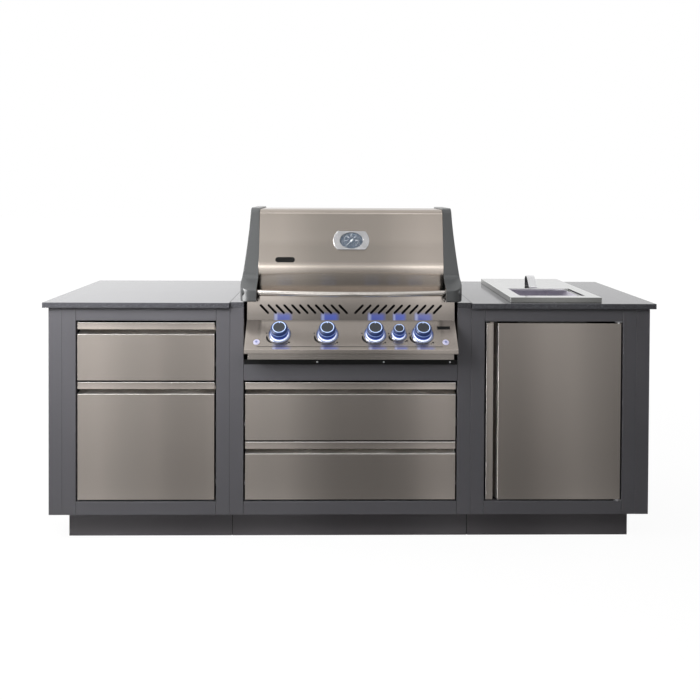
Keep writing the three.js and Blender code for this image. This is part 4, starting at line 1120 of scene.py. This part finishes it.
def bezel(name, at, size):
    """A polished ring with a lit ring inside it."""
    radius, tall, outer = size
    inner = radius + 1.5
    ring = lathe(
        [
            (inner, 0.2), (outer, 0.2), (outer, 1.6), (outer - 0.9, 3.2), (outer - 2.2, 4.6),
            (outer - 3.2, 5), (outer - 4.2, 4.8), (inner + 1.2, 2.6), (inner, 2.2),
        ]
    )
    place = on_slope(at, KNOB_DOWN)
    piece(name + "_bezel", moved(ring, place), bezel_chrome)
    foot = tall * GRIP_LINE[0][1] - 0.4
    core, edge = radius * 0.8, inner - 0.1
    lit = lathe([(core, 0.2), (edge, 0.2), (edge, 2.0), (radius * 0.97, foot), (core, foot)])
    piece(name + "_lit_ring", moved(lit, place), white_glow)


# A knob's side as shares of its radius and height, and where its pale rings sit on it
GRIP_LINE = (  # from its foot up
    (0.98, 0.19), (1.01, 0.2), (1.02, 0.215), (1.02, 0.27), (1.015, 0.32), (1.01, 0.36),
    (1.0, 0.4), (0.995, 0.62), (0.985, 0.82), (0.965, 0.87), (0.92, 0.91), (0.87, 0.935),
    (0.84, 0.965), (0.815, 0.98), (0.775, 0.985),
)
CAP_FLOOR = 0.96
CAP_SHARE = 0.7
GRIP_TOP = ((CAP_SHARE, 0.985), (CAP_SHARE, CAP_FLOOR), (0, CAP_FLOOR))
CAP_EDGE = CAP_SHARE - 0.01
CAP_LINE = ((0, 0.962), (CAP_EDGE, 0.962), (CAP_EDGE, 0.98), (CAP_SHARE - 0.05, 0.985), (0, 0.975))
RIM_RING = ((1.005, 0.6), (1.012, 0.615), (1.012, 0.65), (1.0, 0.665), (0.98, 0.63))
TOP_RING = ((0.785, 0.985), (0.775, 1.0), (0.725, 1.0), (0.7, 0.985))


def knob(name, at, size):
    radius, tall, _ = size
    place = on_slope(at, KNOB_DOWN)
    body = BODY_OF[name]
    for label, shares, material, node in (
        ("grip", ((0, GRIP_LINE[0][1]), *GRIP_LINE, *GRIP_TOP), knob_lit, name),
        ("cap", CAP_LINE, knob_cap, None),
        ("rim_ring", RIM_RING, rim_glow, None),
        ("top_ring", TOP_RING, ring_glow, None),
    ):
        turned = lathe([(radius * across, tall * up) for across, up in shares], 72)
        piece(f"{name}_{label}", moved(turned, place), material, node, body)
    mark = eased(block((-1.2, 1.2), (radius * 0.56, radius * 0.8), (tall * 0.975, tall * 1.0)), 0.2)
    piece(name + "_pointer", moved(mark, place), ring_glow, body=body)
    stem = disc(STEM_RADIUS, (-32, tall * 0.2), 32)
    piece(name + "_stem", moved(stem, place), zinc, body=body)


PRINT_Z = (0.02, 0.14)
ARC_START = radians(186)
ARC_END = radians(238)
ARC_THICK = 7
ARC_EDGE = 1.6
ARC_GAP = 3.4
ARC_STEPS = 20
ARC_FULL = 0.8  # the lower, the blunter its ends
ARC_THINNER = 0.35  # at its far end than at its near one
PRINT_DOTS = ((174, 6.5, 2.6), (-45, 9.5, 3.4), (-55, 8.5, 2.0))  # degrees, gap to the ring, radius


def tapered_arc(name, at, outer):
    """The printed arc beside a knob, thin at its two ends, and the small marks round the knob."""
    inner_line = []
    outer_line = []
    near = outer + ARC_GAP
    for i in range(ARC_STEPS + 1):
        share = i / ARC_STEPS
        angle = ARC_START + (ARC_END - ARC_START) * share
        thick = ARC_THICK * sin(pi * share) ** ARC_FULL * (1 - ARC_THINNER * share)
        far = near + ARC_EDGE + thick
        inner_line.append((near * cos(angle), near * sin(angle)))
        outer_line.append((far * cos(angle), far * sin(angle)))
    marks = [prism([*inner_line, *reversed(outer_line)], PRINT_Z)]
    for degrees, out, size in PRINT_DOTS:
        far = outer + out
        angle = radians(degrees)
        place = Matrix.Translation((far * cos(angle), far * sin(angle), 0))
        marks.append(moved(disc(size, PRINT_Z, 20), place))
    piece(name + "_print", moved(together(marks), on_slope(at, KNOB_DOWN)), printed)


def button(name, at):
    place = on_slope(at, BUTTON_DOWN)
    inner = BUTTON_RADIUS + 0.5
    collar = (
        (inner, 0.1), (BUTTON_COLLAR, 0.1), (BUTTON_COLLAR - 0.3, 1.0),
        (BUTTON_COLLAR - 1.0, 1.5), (inner, 1.3),
    )
    cap = ((0, -15), (8.9, -15), (8.9, 2.2), (8.3, 2.8), (7.6, 2.9), (0, 2.9))
    centre = ((0, 2.9), (4.6, 2.9), (4.2, 3.0), (0, 3.0))
    for label, profile, sides, material, *place_in_frame in (
        ("collar", collar, 48, button_glow, None, "island", "chrome"),
        ("cap", cap, 48, button_glow, name),
        ("centre", centre, 32, button_centre, None, BODY_OF[name]),
    ):
        bm = moved(lathe(profile, sides), place)
        piece(f"{name}_{label}", bm, material, *place_in_frame)


KNOB_LIGHT = (  # emission by the share of the height over the slope
    (0.0, (0.5, 0.65, 1.0)),
    (0.13, (0.16, 0.26, 0.75)),
    (0.2, (0.03, 0.07, 0.36)),
    (0.34, (0.006, 0.02, 0.14)),
    (0.7, (0.003, 0.014, 0.1)),
    (0.88, (0.001, 0.006, 0.045)),
    (1.0, (0.004, 0.014, 0.08)),
)
KNOB_LIGHT_Z = (4, 44)


def knob_plastic():
    """Blue plastic, lit from the ring below it: white at its foot, and deeper blue higher up."""
    shader = Shader("knob_plastic", {"Specular IOR Level": 0.3, "Emission Strength": 1.0})
    normal = on_slope(0, 0).to_3x3() @ Vector((0, 0, 1))
    origin = TO_FRAME @ Vector((0, 0, CREASE_Z))
    along = shader.add("VectorMath", {0: shader.place(), 1: normal}, operation="DOT_PRODUCT")
    height = shader.math("SUBTRACT", along.outputs["Value"], origin.dot(normal))
    share = shader.spread(height, 0.0, 1.0, KNOB_LIGHT_Z[0] * MM, KNOB_LIGHT_Z[1] * MM)
    grain = shader.noise(500)
    shader.set("Base Color", shader.between(grain, (0.012, 0.02, 0.045), (0.025, 0.038, 0.075)))
    shader.set("Roughness", shader.spread(grain, 0.3, 0.45))
    shader.set("Emission Color", shader.ramp(share, KNOB_LIGHT))
    shader.bump(grain, 0.05)
    return shader.material


# Painted reflections of the knobs' blue light on the panel, as heights: low, high and level
GLOW_BANDS = ((847, 876, 1.0), (757, 770, 0.8))
GLOW_RISE = (-1, 2)  # from a band's low end
GLOW_FALL = (-12, 2)  # from its high end
GLOW_COLOUR = (0.035, 0.06, 0.31)
GLOW_TINT = (0.42, 0.5, 0.82)
# Places and widths are shares of a knob's ring
GLOW_SHIFT = 0.2
GLOW_REACH = (0.5, 0.9)
# A painted glint beside each knob, where its light would reflect in the steel
PAINTED_STREAK_SHIFT = -0.42
PAINTED_STREAK_REACH = (0.04, 0.2)
PAINTED_STREAK_COLOUR = (0.2, 0.235, 0.42)
# Painted light on the slope's two ends below the crease, standing in for a reflection of the lit
# castings
PAINTED_END_LIGHT = (0.125, 0.11, 0.1)
PAINTED_END_LIGHT_X = (325, 350)
PAINTED_END_LIGHT_Z = (775, 825)
# Painted shade: the base colour's level by the height in millimetres, darkest just above the crease,
# where the hood and its handle shade the panel, and a little darker on the slope
PANEL_PAINTED_SHADE = (
    (735, 0.98), (758, 0.96), (840, 0.88), (849, 0.46), (868, 0.5), (905, 0.72), (930, 0.95),
    (950, 1.0),
)


def lit_panel_steel():
    """Brushed steel with painted light: reflections of the knobs' blue light just above the crease
    and below the knobs, a glint beside each knob, light on both ends below the crease, and shade by
    height.
    """
    shader = brushed_steel("panel_steel", STEEL)
    x, _, z = shader.axes()

    def spread(value, low, high, ends, start=0.0, scale=1.0):
        return shader.spread(value, low, high, *((start + end * scale) * MM for end in ends))

    def beside(shift, reach, levels):
        """At each place, the largest of the patches beside the knobs."""
        patches = []
        for (at, (_, _, outer), _), level in zip(KNOBS.values(), levels):
            away = shader.away(x, (at + outer * shift) * MM)
            patches.append(spread(away, level, 0.0, reach, scale=outer))
        return shader.most(patches)

    patch = beside(GLOW_SHIFT, GLOW_REACH, [level for _, _, level in KNOBS.values()])
    painted_streak = beside(PAINTED_STREAK_SHIFT, PAINTED_STREAK_REACH, [1.0] * len(KNOBS))
    painted_bands = []
    for low, high, level in GLOW_BANDS:
        rise = spread(z, 0.0, level, GLOW_RISE, low)
        painted_bands.append(shader.times(rise, spread(z, 1.0, 0.0, GLOW_FALL, high)))
    band = shader.most(painted_bands)
    glow = shader.times(patch, band)
    below = shader.math("LESS_THAN", z, CREASE_Z * MM)
    rise = shader.times(spread(z, 0.0, 1.0, PAINTED_END_LIGHT_Z), below)
    ends = shader.times(spread(shader.away(x, 0.0), 0.0, 1.0, PAINTED_END_LIGHT_X), rise)
    emission = shader.mix(ends, BLACK, PAINTED_END_LIGHT)
    emission = shader.mix(glow, emission, GLOW_COLOUR)
    emission = shader.mix(shader.times(painted_streak, band), emission, PAINTED_STREAK_COLOUR)
    shader.set("Emission Color", emission)
    shader.surface.inputs["Emission Strength"].default_value = 1.0
    tint = shader.mix(glow, WHITE, GLOW_TINT)
    shader.set("Base Color", shader.tinted(shader.base(), tint))
    paint_light_by_height(shader, PANEL_PAINTED_SHADE)
    return shader.material


white_glow = glowing("white_glow", (0.85, 0.9, 1.0), 1.0)
ring_glow = glowing("ring_glow", (0.52, 0.66, 0.95), 0.75, (0.35, 0.45, 0.7))
rim_glow = glowing("rim_glow", (0.26, 0.38, 0.7), 0.8, (0.2, 0.27, 0.5))
button_glow = glowing("button_glow", (0.62, 0.58, 0.85), 0.42, (0.3, 0.3, 0.38))
button_centre = glowing("button_centre", (0.1, 0.13, 0.28), 0.7, (0.1, 0.11, 0.2))
bezel_chrome = plain_metal("bezel_chrome", (0.27, 0.29, 0.37), 0.13)
knob_cap = satin("knob_cap", (0.034, 0.037, 0.042), 0.55, 420, 0.12, 0.2)
knob_lit = knob_plastic()
panel_steel = lit_panel_steel()
control_panel()
for knob_name, (knob_x, knob_size, _) in KNOBS.items():
    bezel(knob_name, knob_x, knob_size)
    knob(knob_name, knob_x, knob_size)
    tapered_arc(knob_name, knob_x, knob_size[2])
for button_name, button_x in BUTTONS.items():
    button(button_name, button_x)

# Small trim: blank plates, a pressed line on the slope, and screws
BADGE = (-250, 1072)  # x and z
SHELF_SCREWS_X = (-126, 124, 374)
SHELF_SCREW_Z = 690
SHELF_SCREW_RADIUS = 3.4
SCREW_LINE = ((0, 0.1), (1, 0.1), (1, 0.3), (0.75, 0.5), (0.36, 0.54), (0.3, 0.34), (0, 0.34))
LINE_DOWN = 121


def trim():
    badge = eased(prism(stadium(74, 20), (0.05, 1.2)), 0.4)
    turn = Matrix.Rotation(pi / 2, 4, "Z")
    piece("hood_blank_badge", moved(badge, on_hood(*BADGE) @ turn), printed, body="hood")
    plate = eased(block((-24, 24), (-7, 7), (0.05, 0.9)), 0.3)
    piece("panel_blank_badge", moved(plate, on_slope(345, 36)), printed)
    line = eased(block((-345, 335), (-1.0, 1.0), (0.03, 0.25)), 0.1)
    piece("panel_line", moved(line, on_slope(0, LINE_DOWN)), printed)
    turn = Matrix.Rotation(pi / 2, 4, "X") @ Matrix.Scale(SHELF_SCREW_RADIUS, 4)
    places = [Matrix.Translation((x, 0, SHELF_SCREW_Z)) for x in SHELF_SCREWS_X]
    heads = [moved(lathe(SCREW_LINE, 24), place @ turn) for place in places]
    piece("shelf_screws", together(heads), zinc)


trim()


# Stage, lamps and camera
FLOOR_WHITE = 0.05
FLOOR_LIFT = 0.95
FLOOR_FADE = (1.5, 3.4)
FLOOR_BEHIND = (-0.8, 0.8)  # where the floor in front gives way to the one behind
# The floor in front as metal shows it: level by the share of this distance
MIRRORED_REACH = 12.0
MIRRORED_FLOOR = ((0.08, 0.13), (0.25, 0.29), (0.5, 0.38), (0.85, 0.36))
MIRRORED_BACK = (1.35, 0.95)  # the wall behind, at the left and at the right
MIRRORED_BACK_X = (-0.35, 0.2)
WORLD_LEVEL = 0.15
# The studio's front as metal shows it: share of the full level by the height of the direction
WALL_FULL = 2.4
WALL_STARTS = (-0.1, 0.3)
WALL_LEVELS = (
    (0.0, 0.24), (0.03, 0.32), (0.08, 0.56), (0.18, 0.4), (0.26, 0.25), (0.4, 0.25), (0.62, 0.29),
    (0.69, 0.29), (0.73, 0.95), (0.78, 0.95), (0.83, 0.3),
)
# Its soft lights: azimuth and half width in degrees, and gain
SOFTBOXES = ((-62, 30, 28.0), (-20, 14, 2.3), (-6, 6, 1.75), (7, 4, 1.3), (15.5, 3.6, 0.8))
SOFTBOX_TOP = (0.15, 0.36)  # between these heights of direction their gain fades to this share:
SOFTBOX_SHARE = 0.16
LIGHTS_CENTRE_Y = 2.9
LAMPS = {  # place, target, size and power
    "key": ((-1.2, -1.25, 1.65), (-0.9, -0.28, 0.7), (1.4, 0.8), 40),
    "fill": ((0.5, -2.0, 2.0), (0.3, -0.28, 0.7), (1.6, 0.8), 12),
    "top": ((-0.3, 0.5, 3.4), (0, 0.2, 0.9), (3.0, 1.6), 82),
}


def with_softboxes(nodes, level, azimuth, fade=1.0):
    """The level, raised in the directions of the soft lights."""
    gain = 0.0
    for middle, half, extra in SOFTBOXES:
        away = nodes.away(azimuth, radians(middle))
        reach = {0: away, 1: 0.0, 2: radians(half), 3: extra, 4: 0.0}
        box = nodes.add("MapRange", reach, interpolation_type="SMOOTHSTEP")
        gain = nodes.math("ADD", gain, box.outputs[0])
    return nodes.times(level, nodes.math("MULTIPLY_ADD", gain, fade, 1.0))


def stage():
    """A white floor: shaded near the object, and plain white further away."""
    bpy.ops.mesh.primitive_plane_add(size=60, location=(0, 0, 0))
    floor = bpy.context.object
    floor.name = "floor"
    shader = Shader("floor", {"Roughness": 0.9, "Specular IOR Level": 0.05})
    away = shader.add("VectorMath", {0: shader.place()}, operation="LENGTH").outputs["Value"]
    far = shader.spread(away, 0.0, 1.0, *FLOOR_FADE)
    shader.set("Base Color", shader.mix(far, (FLOOR_WHITE,) * 3, BLACK))
    x, y, _ = shader.axes()
    behind = shader.spread(y, 0.0, 1.0, *FLOOR_BEHIND)
    azimuth = shader.math("ARCTAN2", x, shader.math("SUBTRACT", LIGHTS_CENTRE_Y, y))
    seen, glossy = shader.rays()
    seen = shader.times(seen, shader.spread(far, FLOOR_LIFT, 1.0))
    ahead = shader.level_ramp(shader.spread(away, 0.0, 1.0, 0.0, MIRRORED_REACH), MIRRORED_FLOOR)
    mirrored = with_softboxes(shader, shader.spread(behind, ahead, 1.0), azimuth)
    mirrored = shader.times(mirrored, glossy)
    shader.surface.inputs["Emission Color"].default_value = (1.0, 1.0, 1.0, 1.0)
    shader.set("Emission Strength", shader.math("ADD", seen, mirrored))
    floor.data.materials.append(shader.material)
    floor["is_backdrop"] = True


def world():
    """A plain studio: white to the eye, and in metal white behind with softer walls in front."""
    scene_world = bpy.data.worlds.new("studio")
    bpy.context.scene.world = scene_world
    scene_world.use_nodes = True
    nodes = Nodes(scene_world.node_tree)
    sky = nodes.tree.nodes["Background"]
    sky.inputs["Color"].default_value = (1.0, 1.0, 1.0, 1.0)
    direction = nodes.add("TexCoord", {}).outputs["Generated"]
    x, y, z = nodes.add("SeparateXYZ", {0: direction}).outputs
    forward = nodes.times(y, -1.0)
    front = nodes.spread(forward, 0.0, 1.0, *WALL_STARTS)
    azimuth = nodes.math("ARCTAN2", x, forward)
    level = nodes.times(nodes.level_ramp(z, WALL_LEVELS), WALL_FULL)
    level = with_softboxes(nodes, level, azimuth, nodes.spread(z, 1.0, SOFTBOX_SHARE, *SOFTBOX_TOP))
    mirrored = nodes.choice(front, nodes.spread(x, *MIRRORED_BACK, *MIRRORED_BACK_X), level)
    seen, glossy = nodes.rays()
    lit = nodes.choice(glossy, WORLD_LEVEL, mirrored)
    nodes.tree.links.new(nodes.choice(seen, lit, 1.0), sky.inputs["Strength"])


def lamp(name, place, target, size, power):
    """A soft light that neither metal nor the camera sees."""
    data = bpy.data.lights.new(name, "AREA")
    data.shape = "RECTANGLE"
    data.size, data.size_y = size
    data.energy = power
    obj = in_scene(name, data)
    obj.location = place
    obj.rotation_euler = (Vector(place) - Vector(target)).to_track_quat("Z", "Y").to_euler()
    obj.visible_glossy = False
    obj.visible_camera = False


def camera():
    data = bpy.data.cameras.new("camera")
    data.sensor_width = SENSOR
    data.lens = SENSOR * FOCAL_PX / IMAGE_PX
    data.shift_y = (AXIS_ROW - IMAGE_PX / 2) / IMAGE_PX
    look = Matrix(((1, 0, 0), (0, 0, -1), (0, 1, 0)))
    for angle, axis in ((YAW, "Y"), (PITCH, "X"), (ROLL, "Z")):
        look = Matrix.Rotation(angle, 3, axis) @ look
    turn = look.transposed() @ Matrix.Diagonal((1, -1, -1))
    obj = in_scene("camera", data)
    obj.matrix_world = Matrix.Translation(TO_FRAME @ Vector(EYE)) @ turn.to_4x4()
    bpy.context.scene.camera = obj


stage()
world()
for lamp_name, lamp_values in LAMPS.items():
    lamp(lamp_name, *lamp_values)
camera()
bpy.context.scene.view_settings.view_transform = "Standard"

boxes = {"cad": cad_box, "visual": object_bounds()}
{name: [list(corner) for corner in box] for name, box in boxes.items()}
